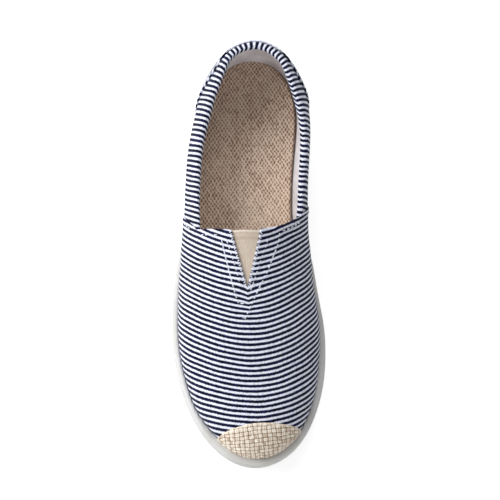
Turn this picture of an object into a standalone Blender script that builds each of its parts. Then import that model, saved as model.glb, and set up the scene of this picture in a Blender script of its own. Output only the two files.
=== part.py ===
"""Right-foot canvas slip-on shoe: a moulded rubber cup sole, a hollow canvas
upper built on a last, an elastic gore in its throat, a toe cap, a heel
counter and an insole.

Frame: +Z up, toe towards -Y, medial side (big toe) towards +X, origin on the
ground under the middle of the sole. Tables and sizes are in millimetres and
"station" is the distance forward from the back of the sole.
"""
import math

import bmesh
import bpy
import numpy as np

MM = 0.001

# Driving dimensions, millimetres
SOLE_LENGTH = 262.0
HEEL_RADIUS = 24.0            # plan radius of the sole's heel
TOE_RADIUS = 27.0             # plan radius of the sole's toe
TOE_SPRING = 8.0
ARCH_LIFT = 2.2
HEEL_EDGE_LIFT = 1.5
UPPER_BACK = 2.0              # station where the upper's wall starts
UPPER_TIP = 256.0             # station where it ends
UPPER_HEEL_RADIUS = 21.0
UPPER_TOE_RADIUS = 25.0
WALL = 1.8                    # canvas and lining together
COLLAR_ROLL = 3.2             # wall where the collar's hem folds over
ROLL_DEPTH = 9.0              # how far down from the collar it thickens
GAP = 0.3                     # between pieces that touch
PATCH_GAP = 0.45              # between the upper and the skins sewn to it
INSOLE_THICKNESS = 3.2
CAP_THICKNESS = 1.3
COUNTER_THICKNESS = 1.0
GORE_THICKNESS = 1.1
GORE_MARGIN = 5.0             # gore hidden under each edge of the notch
GROOVE_WIDTH = 2.6
GROOVE_DEPTH = 1.8
GROOVE_MARGIN = 7.0           # rubber left between a groove and the edge
GROOVES = (20.0, 29.0, 65.0, 74.0, 152.0, 161.0, 170.0, 192.0, 201.0)   # stations

# Ground contact, as stations: the heel pad and the forefoot pad are flat
HEEL_PAD = (14.0, 84.0)
FORE_PAD = (146.0, 206.0)

# Plan of the sole: axis offset towards the medial side, and half width
SOLE_PLAN = (
    # station, axis, half width
    (14.0, 2.3, 23.6),
    (31.0, 1.9, 31.4),
    (46.0, 0.9, 33.9),
    (71.0, -1.6, 35.0),
    (96.0, -3.0, 35.4),
    (116.0, -2.9, 37.2),
    (131.0, -2.0, 41.0),
    (151.0, -1.5, 44.3),
    (176.0, 0.3, 46.9),
    (191.0, 1.2, 46.7),
    (211.0, 2.4, 44.0),
    (231.0, 3.4, 37.5),
    (251.0, 4.4, 24.3),
)

# Plan of the upper where it leaves the sole
UPPER_PLAN = (
    # station, axis, half width
    (14.0, 2.6, 20.4),
    (31.0, 2.0, 28.3),
    (46.0, 0.9, 30.8),
    (71.0, -1.8, 31.8),
    (96.0, -3.1, 31.9),
    (116.0, -3.2, 33.6),
    (131.0, -2.1, 37.3),
    (151.0, -1.6, 40.4),
    (176.0, 0.0, 43.0),
    (191.0, 0.6, 42.6),
    (211.0, 1.9, 39.6),
    (231.0, 3.1, 32.8),
    (246.0, 4.4, 21.6),
)

# Heights of the sole
SOLE_HEIGHTS = (
    # station, rim, footbed
    (0.0, 23.0, 12.0),
    (60.0, 21.5, 12.0),
    (110.0, 19.8, 11.5),
    (160.0, 18.0, 8.5),
    (200.0, 18.0, 8.0),
    (235.0, 20.0, 10.2),
    (262.0, 23.0, 14.0),
)

# Sections of the last. Each runs from the rim up to the ridge as one cubic
# curve: its first handle leans out by belly and stands at rise, its second
# lies level with the ridge at crown. Belly and crown are shares of the half
# width, rise is a share of the height from rim to ridge.
LAST_SECTIONS = (
    # station, ridge height, ridge offset, belly lateral, belly medial, rise,
    # crown lateral, crown medial
    (2.0, 90.0, 2.6, 0.30, 0.30, 0.25, 0.30, 0.30),
    (31.0, 90.0, 0.0, 0.46, 0.54, 0.25, 0.22, 0.34),
    (61.0, 88.0, 0.0, 0.60, 0.66, 0.25, 0.20, 0.52),
    (91.0, 83.0, -1.0, 0.62, 0.66, 0.25, 0.26, 0.60),
    (112.0, 74.0, -3.0, 0.50, 0.58, 0.30, 0.42, 0.64),
    (131.0, 64.5, -3.6, 0.26, 0.26, 0.42, 0.56, 0.60),
    (157.0, 57.5, -2.6, 0.08, 0.12, 0.54, 0.58, 0.58),
    (186.0, 49.5, -0.5, 0.04, 0.04, 0.58, 0.58, 0.58),
    (211.0, 43.0, 1.5, 0.03, 0.03, 0.60, 0.60, 0.60),
    (231.0, 40.0, 3.0, 0.00, 0.00, 0.60, 0.60, 0.60),
    (256.0, 39.0, 4.4, 0.00, 0.00, 0.60, 0.60, 0.60),
)
TOE_BOX = 30.0                # length over which the ridge drops to the rim
TOE_FULLNESS = 2.3            # 2 is an ellipse, more is squarer
HEEL_BULGE = 1.2              # the heel's back swells by this at mid height
HEEL_LEAN = 5.0               # and its collar leans forward by this
LEAN_REACH = 70.0             # the lean dies out over this length

COLLAR = (
    # station, height of the collar above the ground
    (2.0, 62.0),
    (20.0, 60.0),
    (45.0, 54.0),
    (71.0, 50.5),
    (96.0, 50.0),
    (121.0, 51.0),
)

# Opening edges in plan. Ahead of the throat corners the edge is the vamp's
# top line, then the sides of the notch down to its tip.
NOTCH_TIP = (157.2, -2.6)             # station, x
NOTCH_LATERAL = (123.7, -12.6)
NOTCH_MEDIAL = (123.0, 4.8)
THROAT_LATERAL = (
    # station, x
    (121.0, -33.0),
    (121.6, -27.0),
    (122.6, -20.3),
    (123.7, -12.6),
)
THROAT_MEDIAL = (
    # station, x
    (112.0, 29.5),
    (114.6, 26.5),
    (118.0, 21.5),
    (120.6, 15.9),
    (123.0, 4.8),
)

# Toe cap: its top edge in plan, from the lateral corner to the medial one
CAP_EDGE = (
    # station, x
    (244.4, -19.4),
    (240.9, -12.5),
    (239.0, -6.5),
    (237.5, -0.7),
    (236.7, 7.5),
    (236.9, 17.0),
    (237.6, 23.5),
    (239.2, 32.0),
)

# Heel counter: its top edge, the same on both sides
COUNTER_TOP = (
    # station, height above the ground
    (2.0, 55.0),
    (14.0, 53.5),
    (26.0, 46.0),
    (36.0, 36.0),
    (43.0, 29.0),
)
CAP_CLEARANCE = 0.7           # above the rim
COUNTER_CLEARANCE = 2.2

# Rings of the sole, from its underside out, up the side, over the rim and down
# into the cup. A ring runs round the sole's outline or the upper's, moved in by
# its inset, and stands a little above or below one of the height functions.
SOLE_RINGS = (
    # outline, inset, height of, raised by
    ("sole", 9.0, "ground", 0.0),
    ("sole", 2.2, "ground", 0.0),
    ("sole", 0.6, "ground", 0.9),
    ("sole", 0.0, "ground", 3.0),
    ("sole", 0.2, "rim", -4.0),
    ("sole", 0.7, "rim", -1.2),
    ("sole", 1.6, "rim", -0.2),
    ("upper", -0.9, "rim", -0.2),
    ("upper", -GAP, "rim", -0.9),
    ("upper", -GAP, "footbed", 0.0),
    ("upper", 10.0, "footbed", 0.0),
)

# Rings of the insole, from its underside out, up its edge and over its top
INSOLE_RINGS = (
    # outline, inset, height of, raised by
    ("upper", WALL + GAP + 9.0, "footbed", GAP),
    ("upper", WALL + GAP, "footbed", GAP),
    ("upper", WALL + GAP, "footbed", GAP + INSOLE_THICKNESS - 0.8),
    ("upper", WALL + GAP + 1.0, "footbed", GAP + INSOLE_THICKNESS),
    ("upper", WALL + GAP + 9.0, "footbed", GAP + INSOLE_THICKNESS),
)

LATERAL = -1                  # side signs: the right foot's medial side is +X
MEDIAL = 1
WIDEST = 0.3                  # share of the girth by which the last has turned inwards

# Fineness of the faceting
UPPER_STATIONS = 44
RING_STATIONS = 44
EVENNESS = 0.1                # 1 spreads the stations evenly, 0 crowds them at the ends
GIRTH_STEPS = 10
THROAT_PITCH = 4.0
NOTCH_STEPS = 6
GORE_COLUMNS = 9
CAP_RAYS = 12                 # from each corner of the cap to the toe's tip
CAP_STEPS = 8
COUNTER_STEPS = 5
SAMPLES = 401                 # points along a curve that is searched
WELD = 0.02
SHARP_ANGLE = 40.0


def spline(knots, values):
    """Natural cubic spline through the given knots, clamped outside them."""
    order = np.argsort(knots)
    x = np.asarray(knots, float)[order]
    y = np.asarray(values, float)[order]
    step = np.diff(x)
    slope = np.diff(y) / step
    system = np.eye(len(x))
    right = np.zeros(len(x))
    for i in range(1, len(x) - 1):
        system[i, i - 1:i + 2] = step[i - 1], 2 * (step[i - 1] + step[i]), step[i]
        right[i] = 6 * (slope[i] - slope[i - 1])
    bend = np.linalg.solve(system, right)

    def value(at):
        at = np.clip(np.asarray(at, float), x[0], x[-1])
        i = np.clip(np.searchsorted(x, at) - 1, 0, len(x) - 2)
        u = (at - x[i]) / step[i]
        w = 1 - u
        curve = ((w ** 3 - w) * bend[i] + (u ** 3 - u) * bend[i + 1]) * step[i] ** 2 / 6
        return w * y[i] + u * y[i + 1] + curve
    return value


def column_spline(rows, column):
    """Spline of one column of a table against its first column."""
    return spline([row[0] for row in rows], [row[column] for row in rows])


def round_outline(rows, start, end, start_radius, end_radius):
    """Axis and half width of a round-ended outline, as functions of station.

    The half width is sin(phi) times a smooth factor, where phi runs from 0 at
    the heel's end to pi at the toe's, so both ends are round. The factor at
    each end follows from the radius there.
    """
    length = end - start
    phis = [math.acos(1 - 2 * (row[0] - start) / length) for row in rows]
    factors = [row[2] / math.sin(phi) for row, phi in zip(rows, phis)]
    heel_factor = math.sqrt(start_radius * length / 2)
    toe_factor = math.sqrt(end_radius * length / 2)
    factor = spline([0.0] + phis + [math.pi], [heel_factor] + factors + [toe_factor])
    stations = [start] + [row[0] for row in rows] + [end]
    offsets = [rows[0][1]] + [row[1] for row in rows] + [rows[-1][1]]

    def half_width(station):
        cosine = np.clip(1 - 2 * (np.asarray(station, float) - start) / length, -1, 1)
        phi = np.arccos(cosine)
        return np.sin(phi) * factor(phi)
    return spline(stations, offsets), half_width


sole_axis, sole_half = round_outline(SOLE_PLAN, 0.0, SOLE_LENGTH, HEEL_RADIUS, TOE_RADIUS)
upper_axis, upper_half = round_outline(UPPER_PLAN, UPPER_BACK, UPPER_TIP,
                                       UPPER_HEEL_RADIUS, UPPER_TOE_RADIUS)
rim_height = column_spline(SOLE_HEIGHTS, 1)
footbed_height = column_spline(SOLE_HEIGHTS, 2)
ridge_height = column_spline(LAST_SECTIONS, 1)
ridge_offset = column_spline(LAST_SECTIONS, 2)
belly_share = {LATERAL: column_spline(LAST_SECTIONS, 3), MEDIAL: column_spline(LAST_SECTIONS, 4)}
rise_share = column_spline(LAST_SECTIONS, 5)
crown_share = {LATERAL: column_spline(LAST_SECTIONS, 6), MEDIAL: column_spline(LAST_SECTIONS, 7)}
collar_height = column_spline(COLLAR, 1)
counter_top = column_spline(COUNTER_TOP, 1)


def clear_scene():
    for item in list(bpy.data.objects):
        bpy.data.objects.remove(item, do_unlink=True)


def ease(value):
    """Smooth step from 0 to 1."""
    value = np.clip(value, 0.0, 1.0)
    return value * value * (3 - 2 * value)


def last_curve(station, side, v):
    """Points (x, y, z) up one side of the upper's outer face at a station.

    v runs from -1 at the wall's foot in the cup to 0 at the rim, straight up,
    and on to 1 at the ridge, along one cubic Bezier curve.
    """
    v = np.asarray(v, float)
    half = upper_half(station)
    rim = rim_height(station)
    toe = np.clip((station - (UPPER_TIP - TOE_BOX)) / TOE_BOX, 0.0, 1.0)
    height = (ridge_height(station) - rim) * math.sqrt(1 - toe ** TOE_FULLNESS)
    edge = upper_axis(station) + side * half
    belly = edge + side * half * belly_share[side](station)
    ridge = ridge_offset(station)
    crown = ridge + side * half * crown_share[side](station)
    t = np.clip(v, 0.0, 1.0)
    foot, low, high, top = (1 - t) ** 3, 3 * t * (1 - t) ** 2, 3 * t * t * (1 - t), t ** 3
    x = foot * edge + low * belly + high * crown + top * ridge
    z = rim + height * (low * rise_share(station) + high + top)
    z = z + np.clip(v, -1.0, 0.0) * (rim - footbed_height(station) - GAP)
    swell = np.clip((z - rim) / (collar_height(station) - rim), 0.0, 1.5)
    lean = HEEL_BULGE * np.sin(math.pi * np.minimum(swell, 1.0)) - HEEL_LEAN * swell ** 2
    fade = 1 - ease((station - UPPER_BACK) / LEAN_REACH)
    y = SOLE_LENGTH / 2 - station + lean * fade
    return np.stack([x, y, z], axis=-1)


FINE = np.linspace(0.0, 1.0, SAMPLES)


def reach_at_height(station, side, height):
    """v where the outer face stands at a height above the ground."""
    return float(np.interp(height, last_curve(station, side, FINE)[:, 2], FINE))


def reach_at_offset(station, side, x):
    """v where the outer face, above its belly, comes in to the given x."""
    above_belly = FINE > WIDEST
    curve = last_curve(station, side, FINE[above_belly])
    return float(np.interp(-side * x, -side * curve[:, 0], FINE[above_belly]))


def face_height(station, x):
    """Height of the outer face over a point in plan, above the belly."""
    side = LATERAL if x < ridge_offset(station) else MEDIAL
    curve = last_curve(station, side, FINE)
    return float(np.interp(-side * x, -side * curve[:, 0], curve[:, 2]))


def spread(start, end, pitch):
    """Evenly spread values from start to end, both included."""
    return np.linspace(start, end, max(2, round(abs(end - start) / pitch) + 1))


def end_crowded(start, end, count):
    """Values from start to end that crowd towards both ends."""
    u = np.linspace(0.0, 1.0, count)
    crowded = (1 - np.cos(math.pi * u)) / 2
    return start + (end - start) * (EVENNESS * u + (1 - EVENNESS) * crowded)


def opening_rows(side, throat, notch):
    """(station, reach) up one side of the upper for each station from heel to
    toe. The reach ends at the collar, then at the throat line, then at the
    notch, and is 1, the ridge, ahead of the notch's tip."""
    stations = end_crowded(UPPER_BACK, UPPER_TIP, UPPER_STATIONS)
    throat_station = spline([row[1] for row in throat], [row[0] for row in throat])
    rows = [(s, reach_at_height(s, side, collar_height(s)))
            for s in stations if s < throat[0][0] - THROAT_PITCH]
    for x in spread(throat[0][1], throat[-1][1], THROAT_PITCH):
        rows.append((float(throat_station(x)), reach_at_offset(throat_station(x), side, x)))
    for share in spread(0.0, 1.0, 1 / NOTCH_STEPS)[1:-1]:
        station = notch[0] + (NOTCH_TIP[0] - notch[0]) * share
        x = notch[1] + (NOTCH_TIP[1] - notch[1]) * share
        rows.append((station, reach_at_offset(station, side, x)))
    rows.append((NOTCH_TIP[0], 1.0))
    rows += [(s, 1.0) for s in stations if s > NOTCH_TIP[0] + THROAT_PITCH / 2]
    return rows


def face_up(points, side):
    """Order a grid of rows from heel to toe so that its faces look outwards."""
    return points if side == LATERAL else points[:, ::-1]


def add_grid(mesh, points):
    """Add a grid of points, rows by columns in millimetres, as quads."""
    verts = [[mesh.verts.new(point * MM) for point in row] for row in points]
    for near, far in zip(verts, verts[1:]):
        for a, b, c, d in zip(near, far, far[1:], near[1:]):
            mesh.faces.new((a, b, c, d))


def weld(mesh):
    """Join the points that grids share, and drop what collapses with them."""
    bmesh.ops.remove_doubles(mesh, verts=mesh.verts, dist=WELD * MM)
    bmesh.ops.dissolve_degenerate(mesh, edges=mesh.edges, dist=WELD * MM)
    mesh.normal_update()


def shift_along_normals(mesh, distance):
    """Move a skin off its face by a distance in millimetres."""
    moves = [vert.normal * distance * MM for vert in mesh.verts]
    for vert, move in zip(mesh.verts, moves):
        vert.co += move


def material(name, colour, roughness):
    made = bpy.data.materials.new(name)
    made.use_nodes = True
    shader = made.node_tree.nodes["Principled BSDF"]
    shader.inputs["Base Color"].default_value = (*colour, 1.0)
    shader.inputs["Roughness"].default_value = roughness
    shader.inputs["Metallic"].default_value = 0.0
    return made


def width_middle():
    """x halfway between the sole's widest points, left and right."""
    stations = np.linspace(0.0, SOLE_LENGTH, SAMPLES)
    medial = np.max(sole_axis(stations) + sole_half(stations))
    lateral = np.min(sole_axis(stations) - sole_half(stations))
    return (medial + lateral) / 2


def add_object(name, mesh, finish):
    """Turn a bmesh into a named, smooth-shaded object of one material, with
    the origin under the middle of the sole's width."""
    bmesh.ops.translate(mesh, verts=mesh.verts, vec=(-width_middle() * MM, 0.0, 0.0))
    data = bpy.data.meshes.new(name)
    mesh.to_mesh(data)
    mesh.free()
    data.materials.append(finish)
    data.shade_smooth()
    data.set_sharp_from_angle(angle=math.radians(SHARP_ANGLE))
    made = bpy.data.objects.new(name, data)
    bpy.context.scene.collection.objects.link(made)
    return made


def thicken(item, thickness, direction):
    """Give a skin its thickness, outwards for +1 and inwards for -1."""
    shell = item.modifiers.new("thickness", "SOLIDIFY")
    shell.thickness = thickness * MM
    shell.offset = direction
    shell.use_even_offset = True
    return shell


def ring(outline, inset, height_of, raised_by):
    """Closed ring round an outline, from the heel's end down the lateral side
    to the toe's and back, moved in by inset, at a height along the shoe."""
    axis, half, start, end = OUTLINES[outline]
    stations = end_crowded(start, end, RING_STATIONS)
    back = stations[-2:0:-1]
    lateral = np.stack([axis(stations) - half(stations), SOLE_LENGTH / 2 - stations], axis=-1)
    medial = np.stack([axis(back) + half(back), SOLE_LENGTH / 2 - back], axis=-1)
    plan = np.concatenate([lateral, medial])
    along = np.roll(plan, -1, axis=0) - np.roll(plan, 1, axis=0)
    along = along / np.linalg.norm(along, axis=1, keepdims=True)
    inward = np.stack([-along[:, 1], along[:, 0]], axis=-1)
    plan = plan + inward * inset
    heights = HEIGHTS[height_of](SOLE_LENGTH / 2 - plan[:, 1]) + raised_by
    return np.column_stack([plan, heights])


def ring_stack(rows):
    """Skin a table's rings in their order, and close both ends with rungs
    across the shoe. Returns the mesh."""
    mesh = bmesh.new()
    stack = [[mesh.verts.new(point * MM) for point in ring(*row)] for row in rows]
    count = len(stack[0])
    for low, high in zip(stack, stack[1:]):
        for i in range(count):
            j = (i + 1) % count
            mesh.faces.new((low[i], low[j], high[j], high[i]))
    for last in (stack[0], stack[-1]):
        for i in range(RING_STATIONS - 1):
            across = [last[i], last[i + 1], last[-i - 1], last[-i % count]]
            mesh.faces.new(list(dict.fromkeys(across)))
    bmesh.ops.recalc_face_normals(mesh, faces=mesh.faces)
    return mesh


def ground_height(station):
    """Underside of the sole: flat pads, a lifted arch, toe and heel edge."""
    heel = HEEL_EDGE_LIFT * np.clip(1 - station / HEEL_PAD[0], 0, 1) ** 2
    arch = np.clip((station - HEEL_PAD[1]) / (FORE_PAD[0] - HEEL_PAD[1]), 0, 1)
    toe = np.clip((station - FORE_PAD[1]) / (SOLE_LENGTH - FORE_PAD[1]), 0, 1)
    return heel + ARCH_LIFT * np.sin(math.pi * arch) ** 2 + TOE_SPRING * toe ** 2


OUTLINES = {
    "sole": (sole_axis, sole_half, 0.0, SOLE_LENGTH),
    "upper": (upper_axis, upper_half, UPPER_BACK, UPPER_TIP),
}
HEIGHTS = {"ground": ground_height, "rim": rim_height, "footbed": footbed_height}


def build_sole():
    """Moulded rubber cup: underside, side wall, rim, and the footbed inside,
    with grooves cut between the tread's lugs."""
    finish = material("moulded_rubber", (0.74, 0.74, 0.71), 0.55)
    sole = add_object("sole", ring_stack(SOLE_RINGS), finish)
    cutter = groove_cutter()
    cut = sole.modifiers.new("grooves", "BOOLEAN")
    cut.operation = "DIFFERENCE"
    cut.object = cutter
    return sole


def groove_cutter():
    """Bars that cut the grooves between the tread's transverse lugs."""
    mesh = bmesh.new()
    for station in GROOVES:
        reach = float(sole_half(station)) - GROOVE_MARGIN
        sides = [float(sole_axis(station)) - reach, float(sole_axis(station)) + reach]
        y = SOLE_LENGTH / 2 - station
        box = bmesh.ops.create_cube(mesh, size=1.0)["verts"]
        for vert in box:
            vert.co.x = sides[vert.co.x > 0] * MM
            vert.co.y = (y + GROOVE_WIDTH * vert.co.y) * MM
            vert.co.z = (GROOVE_DEPTH if vert.co.z > 0 else -GROOVE_DEPTH) * MM
    cutter = add_object("groove_cutter", mesh, material("cutter", (1.0, 0.2, 0.2), 0.5))
    cutter.hide_render = True
    cutter.display_type = "WIRE"
    return cutter


def build_insole():
    """Padded insole on the footbed, its edge against the upper's wall."""
    finish = material("woven_straw", (0.50, 0.42, 0.33), 0.9)
    return add_object("insole", ring_stack(INSOLE_RINGS), finish)


def build_upper():
    """Canvas upper: one wall from the cup to the collar, open at the collar,
    throat and notch, and underneath."""
    mesh = bmesh.new()
    steps = np.linspace(0.0, 1.0, GIRTH_STEPS + 1)
    sides = ((LATERAL, THROAT_LATERAL, NOTCH_LATERAL), (MEDIAL, THROAT_MEDIAL, NOTCH_MEDIAL))
    collar = []
    for side, throat, notch in sides:
        rows = []
        for station, reach in opening_rows(side, throat, notch):
            v = np.concatenate([[-1.0], steps * reach])
            rows.append(last_curve(station, side, v))
            if station < throat[0][0]:
                collar.append(rows[-1][-1])
        add_grid(mesh, face_up(np.array(rows), side))
    weld(mesh)
    collar = np.array(collar)
    upper = add_object("upper", mesh, material("striped_canvas", (0.45, 0.47, 0.58), 0.9))
    hem = upper.vertex_groups.new(name="hem")
    for vert in upper.data.vertices:
        away = np.linalg.norm(collar - np.array(vert.co) / MM, axis=1).min()
        hem.add([vert.index], float(1 - ease(away / ROLL_DEPTH)), "REPLACE")
    shell = thicken(upper, COLLAR_ROLL, -1)
    shell.vertex_group = hem.name
    shell.thickness_vertex_group = WALL / COLLAR_ROLL
    return upper


def build_gore():
    """Elastic gore: closes the notch from beneath, sewn under both its edges."""
    mesh = bmesh.new()
    first = NOTCH_MEDIAL[0] + GAP
    last = NOTCH_TIP[0] + GORE_MARGIN
    rows = []
    for station in spread(first, last, THROAT_PITCH):
        to_tip = np.clip((NOTCH_TIP[0] - station) / (NOTCH_TIP[0] - NOTCH_MEDIAL[0]), 0, 1)
        low = NOTCH_TIP[1] + (NOTCH_LATERAL[1] - NOTCH_TIP[1]) * to_tip - GORE_MARGIN
        high = NOTCH_TIP[1] + (NOTCH_MEDIAL[1] - NOTCH_TIP[1]) * to_tip + GORE_MARGIN
        y = SOLE_LENGTH / 2 - station
        columns = np.linspace(low, high, GORE_COLUMNS)
        rows.append([(x, y, face_height(station, x)) for x in columns])
    add_grid(mesh, np.array(rows))
    mesh.normal_update()
    shift_along_normals(mesh, -(WALL + PATCH_GAP))
    gore = add_object("gore", mesh, material("elastic_webbing", (0.63, 0.54, 0.39), 0.85))
    thicken(gore, GORE_THICKNESS, -1)
    return gore


def toe_foot_line():
    """Points (x, station) on the upper's outline, round the toe from one
    corner of the cap to the other, closest together at the tip."""
    turn = np.sin(np.linspace(0.0, math.pi / 2, CAP_RAYS))
    lateral = CAP_EDGE[0][0] + (UPPER_TIP - CAP_EDGE[0][0]) * turn
    medial = (CAP_EDGE[-1][0] + (UPPER_TIP - CAP_EDGE[-1][0]) * turn)[-2::-1]
    x = np.concatenate([upper_axis(lateral) - upper_half(lateral),
                        upper_axis(medial) + upper_half(medial)])
    return np.column_stack([x, np.concatenate([lateral, medial])])


def ray_up_the_toe(foot, top):
    """Points up the toe from just over the rim to the cap's top edge, along a
    straight line in plan, evenly spaced along the surface."""
    plan = foot + (top - foot) * FINE[:, None] ** 2
    height = np.array([face_height(station, x) for x, station in plan])
    floor = rim_height(plan[:, 1]) + CAP_CLEARANCE
    clear = max(int(np.sum(height < floor)) - 1, 0)
    line = np.column_stack([plan[:, 0], SOLE_LENGTH / 2 - plan[:, 1], np.maximum(height, floor)])
    line = line[min(clear, len(line) - 2):]
    run = np.concatenate([[0.0], np.cumsum(np.linalg.norm(np.diff(line, axis=0), axis=1))])
    at = np.linspace(0.0, run[-1], CAP_STEPS + 1)
    return np.stack([np.interp(at, run, line[:, i]) for i in range(3)], axis=-1)


def build_toe_cap():
    """Woven toe cap: a patch over the toe, its bottom edge just over the rim."""
    mesh = bmesh.new()
    feet = toe_foot_line()
    edge_station = spline([row[1] for row in CAP_EDGE], [row[0] for row in CAP_EDGE])
    run = np.concatenate([[0.0], np.cumsum(np.linalg.norm(np.diff(feet, axis=0), axis=1))])
    top_x = CAP_EDGE[0][1] + (CAP_EDGE[-1][1] - CAP_EDGE[0][1]) * run / run[-1]
    tops = np.column_stack([top_x, edge_station(top_x)])
    add_grid(mesh, np.array([ray_up_the_toe(foot, top) for foot, top in zip(feet, tops)]))
    weld(mesh)
    shift_along_normals(mesh, PATCH_GAP)
    cap = add_object("toe_cap", mesh, material("jute_hessian", (0.63, 0.53, 0.39), 0.95))
    thicken(cap, CAP_THICKNESS, 1)
    return cap


def build_heel_counter():
    """Canvas counter: a patch round the heel, sloping down to both its ends."""
    mesh = bmesh.new()
    stations = [s for s in end_crowded(UPPER_BACK, UPPER_TIP, UPPER_STATIONS)
                if s < COUNTER_TOP[-1][0]]
    for side in (LATERAL, MEDIAL):
        rows = []
        for station in stations:
            low = reach_at_height(station, side, rim_height(station) + COUNTER_CLEARANCE)
            high = reach_at_height(station, side, counter_top(station))
            rows.append(last_curve(station, side, np.linspace(low, high, COUNTER_STEPS + 1)))
        add_grid(mesh, face_up(np.array(rows), side))
    weld(mesh)
    shift_along_normals(mesh, PATCH_GAP)
    counter = add_object("heel_counter", mesh,
                         material("counter_canvas", (0.45, 0.47, 0.58), 0.9))
    thicken(counter, COUNTER_THICKNESS, 1)
    return counter


clear_scene()
build_sole()
build_insole()
build_upper()
build_gore()
build_toe_cap()
build_heel_counter()
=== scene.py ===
"""The looks of a right-foot canvas slip-on shoe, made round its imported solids.

Sizes are millimetres until a mesh is made. +Z is up, the toe points to -Y and
the medial side, where the big toe is, to +X. A station is a distance forward
from the back of the sole. A turn is the same thing as an angle: 0 at the
heel's back and pi at the toe's tip, negative on the lateral side.
"""
import math

import bmesh
import bpy
import mathutils
import numpy as np
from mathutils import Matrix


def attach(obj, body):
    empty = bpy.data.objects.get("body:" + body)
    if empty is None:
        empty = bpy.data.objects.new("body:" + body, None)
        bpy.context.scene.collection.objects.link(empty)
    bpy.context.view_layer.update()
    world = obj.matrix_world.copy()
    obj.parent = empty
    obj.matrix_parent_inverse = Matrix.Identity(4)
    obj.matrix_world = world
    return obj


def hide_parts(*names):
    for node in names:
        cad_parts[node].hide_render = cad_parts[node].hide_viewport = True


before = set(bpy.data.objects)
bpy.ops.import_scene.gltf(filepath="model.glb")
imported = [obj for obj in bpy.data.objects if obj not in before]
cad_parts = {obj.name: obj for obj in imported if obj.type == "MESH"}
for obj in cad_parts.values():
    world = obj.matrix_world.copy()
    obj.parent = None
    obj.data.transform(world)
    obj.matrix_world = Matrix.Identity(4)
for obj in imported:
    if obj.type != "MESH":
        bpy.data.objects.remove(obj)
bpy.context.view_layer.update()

# ------------------------------------------------------------------- sole
# One unit moulded in off-white foam rubber: a cup whose wall rises round the
# upper, with a bead along its top, a parting line above the outsole's edge, and
# a tread of lugs. The upper is glued down into the cup.

MM = 0.001
WELD = 0.004                  # points this close are one point
SOLE_LENGTH = 262.0
SOLE_PLAN = (
    # station, axis, half width
    (14, 2.3, 23.6), (31, 1.9, 31.4), (46, 0.9, 33.9), (71, -1.6, 35.0), (96, -3.0, 35.4),
    (116, -2.9, 37.2), (131, -2.0, 41.0), (151, -1.5, 44.3), (176, 0.3, 46.9),
    (191, 1.2, 46.7), (211, 2.4, 44.0), (231, 3.4, 37.5), (251, 4.4, 24.3),
)
UPPER_PLAN = (
    # station, axis, half width
    (14, 2.6, 20.4), (31, 2.0, 28.3), (46, 0.9, 30.8), (71, -1.8, 31.8), (96, -3.1, 31.9),
    (116, -3.2, 33.6), (131, -2.1, 37.3), (151, -1.6, 40.4), (176, 0.0, 43.0),
    (191, 0.6, 42.6), (211, 1.9, 39.6), (231, 3.1, 32.8), (246, 4.4, 21.6),
)
SOLE_HEIGHTS = (
    # station, rim, footbed
    (0, 23.0, 12.0), (60, 21.5, 12.0), (110, 19.8, 11.5), (160, 18.0, 8.5),
    (200, 18.0, 8.0), (235, 20.0, 10.2), (262, 23.0, 14.0),
)
HEEL_LIFT, ARCH_LIFT, TOE_SPRING = 1.5, 2.2, 8.0
# The wall's rings, from the tread's edge up and over into the cup: how far each
# is inset from an outline, its level, and how far it is raised above that. The
# level is 0 at the ground, 1 at the rim and 2 at the footbed.
WALL_RINGS = {
    "sole": (
        (1.5, 0, 0.1), (0.8, 0, 0.5), (0.3, 0, 1.2), (0.05, 0, 2.1), (0, 0, 3.1),
        (0.1, 0, 3.8), (0.45, 0, 4.2), (0.75, 0, 4.35), (0.75, 0, 4.75), (0.4, 0, 5),
        (0.25, 0, 5.5), (0.1, 0.5, 0), (0.2, 1, -4.6), (0.3, 1, -4.1), (0.65, 1, -3.85),
        (0.65, 1, -3.45), (0.3, 1, -3.15), (0.15, 1, -2.5), (0.3, 1, -1.6),
        (0.75, 1, -0.75), (1.4, 1, -0.3), (2.2, 1, -0.15),
    ),
    "upper": ((-0.9, 1, -0.3), (-0.45, 1, -0.5), (-0.3, 1, -1), (-0.3, 2, 0)),
}
CREASE_ANGLE = 50             # degrees: sharper edges than this aren't shaded round
TREAD_INSET = 2.2
HEEL_PAD_END = 84.0
HEEL_EDGE = 14.0              # the heel's back edge lifts behind this station
FORE_PAD = (146.0, 206.0)
GROOVES = (20.0, 29.0, 65.0, 74.0, 152.0, 161.0, 170.0, 192.0, 201.0)
GROOVE_WIDTH = 2.6
GROOVE_DEPTH = 1.8
GROOVE_MARGIN = 7.0
GROOVE_SLOPE = 0.3            # how far a groove's wall leans
RIB_PITCH = 3.0               # fine tread on the lugs: shallow zigzag ribs
RIB_DEPTH = 0.35
ZIGZAG = 9.0                  # length of one zig and one zag across the sole
RUBBER = "#dadad9"
RUBBER_SOILED = "#c6c3be"


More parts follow.
